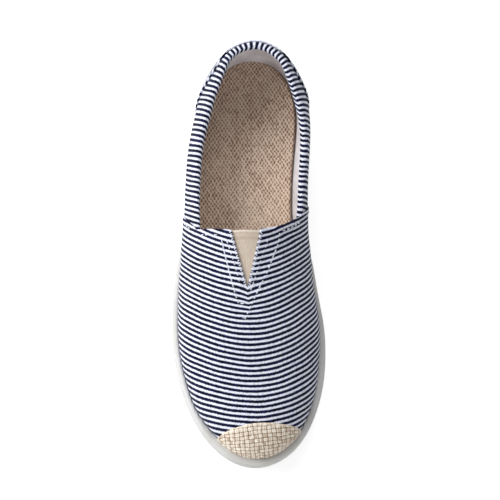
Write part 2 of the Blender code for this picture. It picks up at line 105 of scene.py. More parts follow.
def spline(knots, values):
    """Natural cubic spline through the knots, flat outside them: a straight
    line between two knots, plus cubics whose bends make the slopes agree."""
    x = np.asarray(knots, float)
    y = np.asarray(values, float)
    step = np.diff(x)
    slope = np.diff(y) / step
    system = np.eye(len(x))
    right = np.zeros(len(x))
    for i in range(1, len(x) - 1):
        system[i, i - 1:i + 2] = step[i - 1], 2 * (step[i - 1] + step[i]), step[i]
        right[i] = 6 * (slope[i] - slope[i - 1])
    bend = np.linalg.solve(system, right)

    def value(at):
        at = np.clip(np.asarray(at, float), x[0], x[-1])
        i = np.clip(np.searchsorted(x, at) - 1, 0, len(x) - 2)
        u = (at - x[i]) / step[i]
        w = 1 - u
        curve = ((w ** 3 - w) * bend[i] + (u ** 3 - u) * bend[i + 1]) * step[i] ** 2 / 6
        return w * y[i] + u * y[i + 1] + curve
    return value


def column_splines(rows):
    """A spline for each column of a table, against the first column."""
    table = np.array(rows, float)
    return [spline(table[:, 0], column) for column in table[:, 1:].T]


def portion(value):
    """A value kept between 0 and 1."""
    return np.clip(value, 0, 1)


def direction(vectors):
    """Vectors brought to a length of 1."""
    return vectors / np.maximum(np.linalg.norm(vectors, axis=-1, keepdims=True), 1e-9)


def turns_along(stations, start, length):
    """Turns from 0 to pi of stations along a length from start."""
    return np.arccos(np.clip(1 - 2 * (np.asarray(stations, float) - start) / length, -1, 1))


def stations_along(turns, start, length):
    """Stations of turns along a length from start."""
    return start + length * (1 - np.cos(turns)) / 2


def round_outline(rows, start, end, start_radius, end_radius):
    """Axis and half width along a round-ended outline, with its two ends. The
    half width is sin(turn) times a smooth factor, so both ends are round."""
    length = end - start
    table = np.array(rows, float)
    turns = turns_along(table[:, 0], start, length)
    ends = np.sqrt(np.array([start_radius, end_radius]) * length / 2)
    factors = np.concatenate([ends[:1], table[:, 2] / np.sin(turns), ends[1:]])
    factor = spline(np.concatenate([[0.0], turns, [math.pi]]), factors)
    axis = spline(np.concatenate([[start], table[:, 0], [end]]),
                  np.concatenate([table[:1, 1], table[:, 1], table[-1:, 1]]))

    def half_width(station):
        turn = turns_along(station, start, length)
        return np.sin(turn) * factor(turn)
    return axis, half_width, start, end


OUTLINES = {
    "sole": round_outline(SOLE_PLAN, 0.0, SOLE_LENGTH, 24.0, 27.0),
    "upper": round_outline(UPPER_PLAN, 2.0, 256.0, 21.0, 25.0),
}


def outline_x(outline, station, side):
    """x of one side of an outline, not yet centred."""
    return OUTLINES[outline][0](station) + side * OUTLINES[outline][1](station)


rim_height, footbed_height = column_splines(SOLE_HEIGHTS)
along_sole = np.linspace(0.0, SOLE_LENGTH, 401)
CENTRE = (outline_x("sole", along_sole, -1).min() + outline_x("sole", along_sole, 1).max()) / 2


def ground_height(station):
    """Underside of the sole: flat pads, a lifted arch, toe and heel edge."""
    heel = portion(1 - station / HEEL_EDGE)
    arch = portion((station - HEEL_PAD_END) / (FORE_PAD[0] - HEEL_PAD_END))
    toe = portion((station - FORE_PAD[1]) / (SOLE_LENGTH - FORE_PAD[1]))
    lift = HEEL_LIFT * heel ** 2 + ARCH_LIFT * np.sin(math.pi * arch) ** 2
    return lift + TOE_SPRING * toe ** 2


def inset_edges(outline, inset, turns):
    """Station, lateral x and medial x of an outline moved in by inset, at each
    turn: both sides are moved along their normals and read off by station."""
    start, end = OUTLINES[outline][2:]
    station = stations_along(np.linspace(0.0, math.pi, 4001), start, end - start)
    wanted = stations_along(turns, start + inset, end - start - 2 * inset)
    edges = []
    for side in (-1, 1):
        x = outline_x(outline, station, side)
        run = direction(np.stack([np.gradient(x), np.gradient(station)], axis=-1))
        moved_x = x - side * run[:, 1] * inset
        moved_station = station + side * run[:, 0] * inset
        edges.append(np.interp(wanted, moved_station, moved_x) - CENTRE)
    return wanted, edges[0], edges[1]


def wall_ring(turns, outline, inset, level, raised):
    """One closed ring: down the lateral side from heel to toe, back up the
    medial side, and its first point again."""
    station, *sides = inset_edges(outline, inset, turns)
    if level < 1:
        low, high, share = ground_height(station), rim_height(station), level
    else:
        low, high, share = rim_height(station), footbed_height(station), level - 1
    height = low + (high - low) * share + raised
    down, up = (np.stack([x, SOLE_LENGTH / 2 - station, height], axis=-1) for x in sides)
    return np.concatenate([down, up[::-1]])


def tread_lift(x, station, reach):
    """How far the underside is cut up: shallow zigzag ribs everywhere, and the
    deep grooves between lugs, each as far as reach from the sole's axis."""
    middle = OUTLINES["sole"][0](station) - CENTRE
    zigzag = np.abs(((x - middle) / ZIGZAG) % 1.0 - 0.5) * ZIGZAG
    wave = np.cos(2 * math.pi * (station + zigzag) / RIB_PITCH)
    ribs = RIB_DEPTH * portion(0.5 + 1.1 * wave)
    from_groove = np.abs(station[..., None] - np.array(GROOVES)).min(axis=-1)
    across = portion((GROOVE_WIDTH / 2 - from_groove) / GROOVE_SLOPE + 0.5)
    along = portion((reach - np.abs(x - middle)) / GROOVE_SLOPE + 0.5)
    return np.maximum(ribs, GROOVE_DEPTH * across * along)


def sole_turns():
    """Turns for the sole's rows: half a millimetre apart or less, and exactly
    at the top and foot of each groove's two walls."""
    length = SOLE_LENGTH - 2 * TREAD_INSET
    even = stations_along(np.linspace(0.0, math.pi, 420), TREAD_INSET, length)
    lean = GROOVE_SLOPE / 2
    walls = np.array([groove + side * (GROOVE_WIDTH / 2 + step)
                      for groove in GROOVES for side in (-1, 1) for step in (-lean, lean)])
    clear = np.abs(even[:, None] - walls).min(axis=1) > GROOVE_SLOPE
    return turns_along(np.sort(np.concatenate([even[clear], walls])), TREAD_INSET, length)


def tread_grid(turns):
    """The underside: straight rows across the sole, with columns at the ends of
    the grooves, lifted by the tread."""
    station, lateral, medial = inset_edges("sole", TREAD_INSET, turns)
    middle = OUTLINES["sole"][0](station)[:, None] - CENTRE
    half = (medial - lateral)[:, None] / 2
    reach = np.maximum(half - GROOVE_MARGIN + TREAD_INSET, half * 0.6)
    arm = np.concatenate([
        (reach - GROOVE_SLOPE) * np.linspace(0.0, 1.0, 30),
        reach + GROOVE_SLOPE + (half - reach - GROOVE_SLOPE) * np.linspace(0.0, 1.0, 6)[1:],
    ], axis=1)
    x = middle + np.concatenate([-arm[:, :0:-1], arm], axis=1)
    x[:, 0] = lateral
    x[:, -1] = medial
    along = np.broadcast_to(station[:, None], x.shape)
    lift = tread_lift(x, along, reach)
    lift[:, [0, -1]] = 0.0
    return np.stack([x, SOLE_LENGTH / 2 - along, ground_height(along) + lift], axis=-1)


def border(grid):
    """The ring of points round a grid whose first and last rows are narrow:
    down its first column and back up its last."""
    return np.concatenate([grid[:, 0], grid[::-1, -1]])


def closed_rings(rings):
    """A stack of rings with each ring's first point repeated at its end."""
    return np.concatenate([rings, rings[:, :1]], axis=1)


def rungs(ring):
    """A face across a long ring: its two sides, as a grid two points wide."""
    half = len(ring) // 2
    return np.stack([ring[:half], ring[half:][::-1]], axis=1)


def make_piece(name, grids, finish, closed=True):
    """Make one smooth mesh of grids of points. Each grid is a tuple: points, an
    array (..., rows, columns, 3) in millimetres; a chart (u, v) of its pattern;
    and a tone. The last two are left out where the finish doesn't read them.
    Points that grids share are welded. A closed mesh has hairline gaps where
    its grids meet filled, and its faces turned out."""
    points, charts, tones, faces = [], [], [], []
    first = 0
    for grid, *extra in grids:
        rows, columns = grid.shape[-3:-1]
        index = first + np.arange(grid.size // 3).reshape(-1, rows, columns)
        corners = (index[:, :-1, :-1], index[:, :-1, 1:], index[:, 1:, 1:], index[:, 1:, :-1])
        faces.append(np.stack([corner.ravel() for corner in corners], axis=1))
        points.append(grid.reshape(-1, 3))
        charts.append((extra[0] if extra else grid[..., :2]).reshape(-1, 2))
        shade = extra[1] if len(extra) > 1 else 0.5
        tones.append(np.broadcast_to(shade, grid.shape[:-1]).ravel())
        first += grid.size // 3
    mesh = bpy.data.meshes.new(name)
    mesh.from_pydata((np.concatenate(points) * MM).tolist(), [], np.concatenate(faces).tolist())
    corner_points = np.empty(len(mesh.loops), int)
    mesh.loops.foreach_get("vertex_index", corner_points)
    layer = mesh.uv_layers.new(name="chart")
    layer.data.foreach_set("uv", np.concatenate(charts)[corner_points].ravel())
    tone = mesh.attributes.new("tone", "FLOAT", "POINT")
    tone.data.foreach_set("value", np.concatenate(tones))
    work = bmesh.new()
    work.from_mesh(mesh)
    bmesh.ops.remove_doubles(work, verts=work.verts, dist=WELD * MM)
    bmesh.ops.dissolve_degenerate(work, edges=work.edges, dist=WELD * MM)
    if closed:
        gaps = [edge for edge in work.edges if edge.is_boundary]
        bmesh.ops.holes_fill(work, edges=gaps, sides=0)
        bmesh.ops.recalc_face_normals(work, faces=work.faces)
        if work.calc_volume(signed=True) < 0:
            bmesh.ops.reverse_faces(work, faces=work.faces)
    work.to_mesh(mesh)
    work.free()
    mesh.shade_smooth()
    mesh.materials.append(finish)
    piece = bpy.data.objects.new(name, mesh)
    bpy.context.scene.collection.objects.link(piece)
    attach(piece, "root")
    return piece


def linear(colour):
    """An sRGB hex colour as linear red, green, blue and 1."""
    parts = np.array([int(colour[i:i + 2], 16) / 255 for i in (1, 3, 5)])
    light = np.where(parts <= 0.04045, parts / 12.92, ((parts + 0.055) / 1.055) ** 2.4)
    return (*light.tolist(), 1.0)


def new_finish(name):
    """A material with nodes."""
    finish = bpy.data.materials.new(name)
    finish.use_nodes = True
    return finish


def add(finish, kind, inputs=(), out=0, **settings):
    """Add a node to a material, with its settings, and with its inputs, by name
    or in order, given as values or as outputs to link. Returns one output."""
    node = finish.node_tree.nodes.new("ShaderNode" + kind)
    for name, value in settings.items():
        setattr(node, name, value)
    for name, value in inputs.items() if isinstance(inputs, dict) else enumerate(inputs):
        if isinstance(value, bpy.types.NodeSocket):
            finish.node_tree.links.new(value, node.inputs[name])
        else:
            node.inputs[name].default_value = value
    return node.outputs[out]


def set_ramp(output, stops):
    """Give a colour ramp its stops, as (place, hex colour), by its output."""
    ramp = output.node.color_ramp
    while len(ramp.elements) < len(stops):
        ramp.elements.new(0.5)
    for element, (place, colour) in zip(ramp.elements, stops):
        element.position = place
        element.color = linear(colour)
    return output


def dress(finish, colour, height, strength, depth, constants):
    """Give a material its colour, a relief of a depth in millimetres from a
    height, and the constants of its shader."""
    shader = finish.node_tree.nodes["Principled BSDF"]
    relief = add(finish, "Bump",
                 {"Height": height, "Strength": strength, "Distance": depth * MM})
    finish.node_tree.links.new(colour, shader.inputs["Base Color"])
    finish.node_tree.links.new(relief, shader.inputs["Normal"])
    for name, value in constants.items():
        shader.inputs[name].default_value = value
    return finish


def moulded_rubber():
    """Off-white foam rubber from a sandblasted mould: matt, with a faint grain
    of 0.5 mm, and a little soiling in soft patches."""
    finish = new_finish("moulded_rubber")
    place = add(finish, "TexCoord", out="Object")
    patches = add(finish, "TexNoise", {"Vector": place, "Scale": 38.0, "Detail": 4.0})
    tint = set_ramp(add(finish, "ValToRGB", {"Fac": patches}),
                    ((0.42, RUBBER), (0.78, RUBBER_SOILED)))
    grain = add(finish, "TexNoise", {"Vector": place, "Scale": 1 / (0.5 * MM), "Detail": 2.0})
    return dress(finish, tint, grain, 0.25, 0.12, {"Roughness": 0.62, "IOR": 1.5})


turns = sole_turns()
tread = tread_grid(turns)
wall = [wall_ring(turns, outline, *ring) for outline, rings in WALL_RINGS.items()
        for ring in rings]
wall = np.array([border(tread), *wall])
sole = make_piece("sole_unit", [(tread,), (closed_rings(wall),), (rungs(wall[-1]),)],
                  moulded_rubber())
sole.data.set_sharp_from_angle(angle=math.radians(CREASE_ANGLE))
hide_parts("sole")

# ----------------------------------------------------------------- insole
# A thin foam sock, curled up a little at its edge, covered with a braided sheet
# of paper straw whose strands cross at a slant. It is cut to the inside of the
# upper and glued down on the footbed.

WALL = 1.8                    # of the upper
GAP = 0.3
INSOLE_THICKNESS = 3.2
INSOLE_PITCH = 0.4            # between the surface's points, as far as the throat
INSOLE_COLUMNS = 175
WOVEN_END = 155.0             # the station where the cover's relief has faded out
WOVEN_FADE = 12.0
CURL = 1.0                    # how far the sock's edge curls up the wall
BEVEL = 1.6                   # width of its rounded edge
BEVEL_DROP = 1.2
UPPER_LENGTH = 254.0
HEEL_SEAT = 3.6               # how far the stiffened heel comes in at its foot
SEAT_END = 0.62               # the turn where that has died out
STRAND = 1.92                 # from one straw strand's middle to the next
STRAND_RISE = 0.20            # how far a strand climbs over the others
STRAND_CROWN = 0.36           # height of its rounded back
BRAID_ANGLE = 32.5            # degrees from across the shoe to square to a strand
# The darker browns also stand for painted shade, through the weave's tone.
STRAW_DARK = "#4e3220"
STRAW_SHADED = "#8b6b56"
STRAW = "#c4a892"
STRAW_LIGHT = "#e8d2be"


def ease(value):
    """Smooth step from 0 to 1."""
    value = portion(value)
    return value * value * (3 - 2 * value)


def scatter(index):
    """A fixed random number from 0 to 1 for each whole number."""
    return (np.sin(index * 12.9898 + 4.1414) * 43758.5453) % 1.0


def wander(x, y, size, seed):
    """Soft noise from about -1 to 1, with swells of the given size: the sum of
    seven plane waves with random headings, lengths and phases."""
    random = np.random.default_rng(seed)
    total = 0.0
    for heading, length, phase in random.uniform(0.0, 1.0, (7, 3)):
        turn = 2 * math.pi * heading
        run = (x * math.cos(turn) + y * math.sin(turn)) / (size * (1.0 + 1.2 * length))
        total = total + np.sin(2 * math.pi * (run + phase))
    return total / 3.5


def weave(first, second, rise, crown, yarns=1, paler=0.07):
    """Height and tone of a plain weave of two sets of strands. Its coordinates
    count the strands. Each strand follows a flattened sine over and under the
    others, one strand later in each next row. A strand's back is a sine across,
    with a smaller one for each of its yarns. The tone holds painted shade: dark
    in the holes and towards the sides of each strand's rounded back. It also
    differs at random from float to float, and the first set's is paler."""
    heights, shades = [], []
    for own, other, sign in ((first, second, 1), (second, first, -1)):
        step = sign * (other - np.floor(own) - 0.5)
        wave = np.clip(1.5 * np.cos(math.pi * step), -1, 1)
        back = 0.5 * np.sin(math.pi * (own % 1.0)) + 0.5 * np.sin(math.pi * (own * yarns % 1.0))
        heights.append(sign * wave * rise + crown * back)
        chance = scatter(np.floor(own * yarns) + 57 * sign + 31 * np.floor(step / 2))
        # painted shade towards the sides of the rounded back, and random tone per float
        shades.append(0.5 * back ** 1.5 + 0.5 * chance + paler * (sign > 0))
    height = np.maximum(*heights)
    shade = np.where(heights[0] > heights[1], *shades)
    # painted shade: darker the deeper a point lies below the crowns
    depth = ease((height - 0.15 * crown) / (rise + 0.85 * crown))
    return height, (0.12 + 0.88 * depth) * (0.12 + 0.88 * shade)


def paper_straw():
    """Braided paper straw: dry and matt, each strand with a faint grain, and darker
    in worn, soiled patches. The tone it reads brings painted shade between the
    ribbons and at the pad's edge."""
    finish = new_finish("paper_straw")
    tone = add(finish, "Attribute", out="Fac", attribute_name="tone")
    place = add(finish, "TexCoord", out="Object")
    grain = add(finish, "TexNoise", {"Vector": place, "Scale": 1 / (0.35 * MM), "Detail": 3.0})
    soil = add(finish, "TexNoise", {"Vector": place, "Scale": 45.0})
    mixed = add(finish, "Math", (grain, 0.5, tone), operation="MULTIPLY_ADD")
    # worn holds the tone's painted shade as well as the soil noise's patches
    worn = add(finish, "Math", (soil, 0.26, mixed), operation="MULTIPLY_ADD")
    tint = set_ramp(add(finish, "ValToRGB", {"Fac": worn}),
                    ((0.38, STRAW_DARK), (0.54, STRAW_SHADED),
                     (0.78, STRAW), (1.0, STRAW_LIGHT)))
    return dress(finish, tint, grain, 0.5, 0.15, {"Roughness": 0.85, "Sheen Weight": 0.15})


turns = np.linspace(0.0, math.pi, 2000)
station = inset_edges("upper", WALL + GAP, turns)[0]
rows = np.concatenate([np.arange(station[0], WOVEN_END, INSOLE_PITCH),
                       np.arange(WOVEN_END, station[-1], 3 * INSOLE_PITCH), station[-1:]])
turns = np.interp(rows, station, turns)
station, lateral, medial = inset_edges("upper", WALL + GAP, turns)
across = np.linspace(-math.pi / 2, math.pi / 2, INSOLE_COLUMNS)
across = np.sin(across * 0.8) / math.sin(0.4 * math.pi)
middle, half = (lateral + medial) / 2, (medial - lateral) / 2
x = middle[:, None] + half[:, None] * across
along = np.broadcast_to(station[:, None], x.shape)
bevel = 1 - ease(half[:, None] * (1 - np.abs(across)) / BEVEL)
slant = math.radians(BRAID_ANGLE)
slack = 0.12 * wander(x, along, 9.0, 2) + 0.14 * wander(x, along, 3.5, 8)
strands = [(along * math.sin(slant) + sign * x * math.cos(slant)) / STRAND + slack
           for sign in (-1, 1)]
# Its tone is painted light: shade in the holes and on the strands' sides, and a painted
# highlight on the first set, which the light falls on more.
relief, tone = weave(*strands, STRAND_RISE, STRAND_CROWN)
woven = 1 - ease((along - WOVEN_END + WOVEN_FADE) / WOVEN_FADE)
relief, tone = 0.3 + (relief - 0.3) * woven, 0.5 + (tone - 0.5) * woven
height = footbed_height(along) + GAP + INSOLE_THICKNESS + relief
height = height + CURL * np.abs(across) ** 5 - BEVEL_DROP * bevel ** 2
top = np.stack([x, SOLE_LENGTH / 2 - along, height], axis=-1)
top[..., 1] -= HEEL_SEAT * (1 - ease(2 * np.sqrt(along / UPPER_LENGTH) / SEAT_END))
rim = border(top)
foot = rim * [1, 1, 0] + [0, 0, 1] * (footbed_height(SOLE_LENGTH / 2 - rim[:, 1:2]) + GAP)
# The tone darkens towards the pad's rounded edge: a painted shadow line where it meets the
# lining.
insole = make_piece("insole_pad", [
    (top, top[..., :2], tone * (1 - 0.4 * bevel)),
    (closed_rings(np.array([rim, foot])),),
    (rungs(foot),),
], paper_straw())
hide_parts("insole")

# ----------------------------------------------------------------- lining
# Plain off-white cotton drill, glued inside the upper. It runs from the footbed
# up under the collar's fold and under the hem of the throat.

BACK, TIP = OUTLINES["upper"][2:]
LAST_SECTIONS = (
    # station, ridge height, ridge offset, rise, and then lateral and medial of
    # each: belly, crown
    (2, 90.0, 2.6, 0.25, 0.30, 0.30, 0.30, 0.30),
    (31, 90.0, 0.0, 0.25, 0.46, 0.54, 0.22, 0.34),
    (61, 88.0, 0.0, 0.25, 0.60, 0.66, 0.20, 0.52),
    (91, 83.0, -1.0, 0.25, 0.62, 0.66, 0.26, 0.60),
    (112, 74.0, -3.0, 0.30, 0.50, 0.58, 0.42, 0.64),
    (131, 64.5, -3.6, 0.42, 0.26, 0.26, 0.56, 0.60),
    (157, 57.5, -2.6, 0.54, 0.08, 0.12, 0.58, 0.58),
    (186, 49.5, -0.5, 0.58, 0.04, 0.04, 0.58, 0.58),
    (211, 43.0, 1.5, 0.60, 0.03, 0.03, 0.60, 0.60),
    (231, 40.0, 3.0, 0.60, 0.00, 0.00, 0.60, 0.60),
    (256, 39.0, 4.4, 0.60, 0.00, 0.00, 0.60, 0.60),
)
TOE_BOX = 30.0
TOE_FULLNESS = 2.3
HEEL_BULGE = 1.2
HEEL_LEAN = 5.0
LEAN_REACH = 70.0
BELLY_TOP = 0.3               # v above which the last's face only comes in
COLLAR = (
    # station, height
    (2, 62.0), (20, 60.0), (45, 54.0), (71, 50.5), (96, 50.0), (121, 51.0),
)
# The vamp's back edge: up the side seam, then along the throat and down one
# side of the notch to its tip.
SEAM = {
    # station, height
    -1: ((107.0, 16.0), (107.8, 24.0), (109.6, 32.0), (113.2, 40.0), (117.6, 47.0)),
    1: ((101.0, 16.0), (101.3, 24.0), (102.6, 33.0), (105.4, 41.0), (109.0, 48.0)),
}
THROAT = {
    # station, x
    -1: ((121.0, -33.0), (121.6, -27.0), (122.6, -20.3), (123.7, -12.6)),
    1: ((112.0, 29.5), (114.6, 26.5), (118.0, 21.5), (120.6, 15.9), (123.0, 4.8)),
}
NOTCH_TIP = (157.2, -2.6)
FOLD = (
    # station, and how deep the collar's fold hangs inside
    (2, 12.5), (22, 11.0), (45, 6.0), (70, 5.0), (121, 5.0),
)
FOLD_COVER = 2.0              # how far it covers the lining's edge
THROAT_COVER = 3.0            # how far the throat's hem does
SEAM_POINTS = 40              # along each part of the vamp's back edge
FOOT = -0.94                  # v at the foot of the upper, down in the cup
LINING_DEPTH = 1.2            # below the upper's outer face
LINING_THICKNESS = 0.55
SEAT_HEIGHT = 26.0            # how high the stiffened heel's foot reaches
COTTON = "#f2eff2"
COTTON_SHADED = "#d2cbcb"


def station_at(turn):
    """Station of a turn round the upper's outline."""
    return stations_along(turn, BACK, TIP - BACK)


def turn_at(station):
    """Turn of a station, without its side's sign."""
    return turns_along(station, BACK, TIP - BACK)


def two_sided(lateral, medial):
    """A value against the turn, from its spline of station for each side."""
    return lambda turn: np.where(turn < 0, lateral(station_at(turn)), medial(station_at(turn)))


ridge_height, ridge_x, rise, *sides = column_splines(LAST_SECTIONS)
belly_reach, crown_reach = two_sided(*sides[:2]), two_sided(*sides[2:])
(collar_height,) = column_splines(COLLAR)
(fold_depth,) = column_splines(FOLD)


def last_point(turn, v):
    """A point on the upper's outer face. v runs from -1 at the foot in the cup
    straight up to 0 at the rim, then to 1 at the ridge on a cubic Bezier curve
    whose two middle points are the belly and the crown. The heel bulges, and
    its collar leans forward."""
    turn, v = np.broadcast_arrays(np.asarray(turn, float), np.asarray(v, float))
    station = station_at(turn)
    side = np.where(turn > 0, 1.0, -1.0)
    half = side * OUTLINES["upper"][1](station)
    rim = rim_height(station)
    toe = portion((station - (TIP - TOE_BOX)) / TOE_BOX)
    height = (ridge_height(station) - rim) * np.sqrt(1 - toe ** TOE_FULLNESS)
    edge = OUTLINES["upper"][0](station) + half
    belly = edge + half * belly_reach(turn)
    top = ridge_x(station)
    crown = top + half * crown_reach(turn)
    t = portion(v)
    share = ((1 - t) ** 3, 3 * t * (1 - t) ** 2, 3 * t * t * (1 - t), t ** 3)
    x = share[0] * edge + share[1] * belly + share[2] * crown + share[3] * top
    z = rim + height * (share[1] * rise(station) + share[2] + share[3])
    z = z + np.clip(v, -1, 0) * (rim - footbed_height(station) - GAP)
    swell = np.clip((z - rim) / (collar_height(station) - rim), 0, 1.5)
    lean = HEEL_BULGE * np.sin(math.pi * np.minimum(swell, 1)) - HEEL_LEAN * swell ** 2
    fade = 1 - ease((station - BACK) / LEAN_REACH)
    return np.stack([x - CENTRE, SOLE_LENGTH / 2 - station + lean * fade, z], axis=-1)


def last_normal(turn, v):
    """Unit outward normal of the last's face, from central differences."""
    turn, v = np.broadcast_arrays(np.asarray(turn, float), np.asarray(v, float))
    nudge = 2e-3
    up = last_point(turn, np.minimum(v + nudge, 1)) - last_point(turn, v - nudge)
    ahead = last_point(np.minimum(turn + nudge, math.pi), v)
    return direction(np.cross(up, ahead - last_point(np.maximum(turn - nudge, -math.pi), v)))


def reach_at(turn, coordinate, value, low=0.0):
    """v at which the last's face passes a height (coordinate 2), or comes in to
    an x (coordinate 0), found by halving from low to 1."""
    turn, value = np.broadcast_arrays(np.asarray(turn, float), np.asarray(value, float))
    sign = 1.0 if coordinate == 2 else -np.sign(turn)
    least, most = np.full(turn.shape, low), np.ones(turn.shape)
    for _ in range(28):
        v = (least + most) / 2
        short = sign * (last_point(turn, v)[..., coordinate] - value) < 0
        least, most = np.where(short, v, least), np.where(short, most, v)
    return (least + most) / 2


def vamp_edge(side):
    """v and station of points close together along the vamp's back edge."""
    seam, throat = np.array(SEAM[side]), np.array(THROAT[side])
    height = np.linspace(seam[0, 1], seam[-1, 1], SEAM_POINTS)
    seam_station = spline(seam[:, 1], seam[:, 0])(height)
    seam_v = reach_at(side * turn_at(seam_station), 2, height)
    order = np.argsort(throat[:, 1])
    x = np.linspace(throat[0, 1], throat[-1, 1], SEAM_POINTS)
    throat_station = spline(throat[order, 1], throat[order, 0])(x)
    slide = np.linspace(0, 1, SEAM_POINTS + 1)[1:, None]
    notch = throat[-1] + (np.array(NOTCH_TIP) - throat[-1]) * slide
    station = np.concatenate([throat_station, notch[:, 0]])
    x = np.concatenate([x, notch[:, 1]]) - CENTRE
    v = reach_at(side * turn_at(station), 0, x, BELLY_TOP)
    v[-1] = 1.0
    return (np.concatenate([[-1.0], seam_v, v]),
            np.concatenate([seam_station[:1], seam_station, station]))


EDGES = {side: vamp_edge(side) for side in (-1, 1)}


def skin(turn, v, lift):
    """Points moved off the last's face along its normals."""
    return last_point(turn, v) + last_normal(turn, v) * np.asarray(lift)[..., None]


def lining_top(turn):
    """v of the lining's top edge: a little above the foot of the collar's fold,
    then a little in from the vamp's edge, and the ridge ahead of the notch."""
    station = station_at(turn)
    low = reach_at(turn, 2, collar_height(station) - fold_depth(station) + FOLD_COVER)
    tops = []
    for side in (-1, 1):
        v, edge = (of[SEAM_POINTS + 1:] for of in EDGES[side])
        inner = np.interp(station - THROAT_COVER, edge, v)
        tops.append(np.where(station < THROAT[side][0][0] + THROAT_COVER, low, inner))
    return np.where(turn < 0, *tops)


def heel_turns(fine, end, count):
    """Turns of one side, from the heel's back to a station: close together at
    first, where the outline is round, and then evenly along the shoe."""
    near = BACK + 2.0 * np.linspace(0, 1, fine) ** 2
    return turn_at(np.concatenate([near, np.linspace(4.0, end, count)[1:]]))


def mirrored(turns):
    """Turns of both sides, from those of one, with the first one used once."""
    return np.concatenate([-turns[:0:-1], turns])


def run_length(points, axis):
    """Length along an axis of a grid, from its first point to each other one."""
    steps = np.linalg.norm(np.diff(points, axis=axis), axis=-1)
    start = np.zeros_like(np.take(steps, [0], axis=axis))
    return np.concatenate([start, np.cumsum(steps, axis=axis)], axis=axis)


def cotton_lining():
    """Bleached cotton drill: matt, with a fine twill of 0.7 mm and a greyish
    cast in soft patches, where feet have rubbed it."""
    finish = new_finish("cotton_lining")
    place = add(finish, "TexCoord", out="Object")
    patches = add(finish, "TexNoise", {"Vector": place, "Scale": 55.0, "Detail": 3.0})
    tint = set_ramp(add(finish, "ValToRGB", {"Fac": patches}),
                    ((0.35, COTTON_SHADED), (0.6, COTTON)))
    chart = add(finish, "UVMap", uv_map="chart")
    twill = add(finish, "TexWave", {"Vector": chart, "Scale": 0.45, "Distortion": 0.6},
                out="Fac", wave_type="BANDS", bands_direction="DIAGONAL")
    return dress(finish, tint, twill, 0.5, 0.15, {"Roughness": 0.95, "Sheen Weight": 0.2})


turns = heel_turns(9, 254.0, 150)
turns = mirrored(np.concatenate([turns, np.linspace(turns[-1], math.pi - 0.03, 9)[1:]]))
v = FOOT + (lining_top(turns) - FOOT) * np.linspace(0.0, 1.0, 36)[:, None]
seated = HEEL_SEAT * (1 - ease(np.abs(turns) / SEAT_END))
rise_above = last_point(turns, v)[..., 2] - footbed_height(station_at(turns)) - INSOLE_THICKNESS
inside = skin(turns, v, -LINING_DEPTH - seated * (1 - ease(rise_above / SEAT_HEIGHT)))
chart = np.stack([run_length(inside, 1), run_length(inside, 0)], axis=-1)
toe_end = np.stack([inside[:, -1], inside[:, 0]], axis=1)
lining = make_piece("lining", [(inside, chart), (toe_end,)], cotton_lining(), closed=False)
thickness = lining.modifiers.new("thickness", "SOLIDIFY")
thickness.thickness = LINING_THICKNESS * MM
thickness.offset = -1.0
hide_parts("upper")

# ---------------------------------------------------------------- quarters
# One strip of striped canvas from the side seam round the heel to the other
# seam. Its top edge is rolled over a padding cord and folded down inside over
# the lining, deep at the heel, and its foot is glued down in the cup.

QUARTER_ENDS = (127.0, 118.0)  # stations, under the vamp: lateral, medial
QUARTER_STRIPES = 3.18        # from one dark stripe to the next
STRIPE_LEAN = (
    # length along the collar from the heel's middle, negative on the lateral
    # side, and how far along it the stripes lean for each millimetre down:
    # outside, and in the fold inside
    (-150, 0.30, -0.75), (-103, 0.30, -0.80), (-84, 0.25, -0.75), (-65, 0.22, -0.60),
    (-46, 0.16, -0.60), (-30, 0.10, -0.75), (-17, 0.12, -1.20), (-7, 0.13, -0.80),
    (0, 0.12, -0.10), (7, 0.08, 0.50), (14, 0.00, 0.50), (22, 0.00, -0.10),
    (31, -0.09, -0.80), (42, -0.08, -1.20), (52, 0.00, -1.05), (62, 0.00, -0.70),
    (75, -0.07, -0.40), (100, -0.08, -0.30), (150, -0.08, -0.30),
)
FOLD_LEAN = 5.0               # depth in the fold where that dies out
HEEL_GATHER = 2.4             # canvas taken up round the heel, each side,
GATHER_END = 24.0             # within this length along the collar
SIDE_GATHER = 0.03            # and in each millimetre of the next ones,
SIDE_GATHERED = (20, 45)      # from the first length and for the second
ROLL = (
    # station, radius of the rolled top, lateral and medial, and how far the
    # padding in it pushes the wall out, lateral and medial
    (2, 2.2, 2.2, 0.3, 0.3), (7, 2.3, 2.3, 2.4, 1.6), (12, 2.3, 2.3, 3.4, 2.6),
    (17, 2.2, 2.2, 2.7, 2.2), (25, 2.1, 2.2, 1.0, 0.8), (36, 2.4, 2.6, 0.4, 0.2),
    (48, 2.8, 2.7, 0.0, 0.0), (62, 2.7, 2.5, 0.0, 0.0), (80, 2.4, 2.4, 0.0, 0.0),
    (100, 1.8, 2.2, 0.0, 0.0), (112, 1.5, 1.7, 0.0, 0.0), (127, 1.5, 1.5, 0.0, 0.0),
)
FOLD_SUNK = 2.45              # the fold's face, below the upper's outer face
BEHIND_SUNK = 0.7             # and the strip's face behind the lining
CANVAS_YARNS = 6              # yarns in one dark and one pale stripe
YARN = 0.56                   # from one crossing yarn to the next
DARK_SHARE = 0.56
STRIPE_BLUR = 0.035           # half the width of a stripe's soft edge, in stripes
NAVY = "#04071f"
NAVY_WORN = "#171d55"
ECRU = "#f0f2ff"
ECRU_SHADED = "#ced4e8"


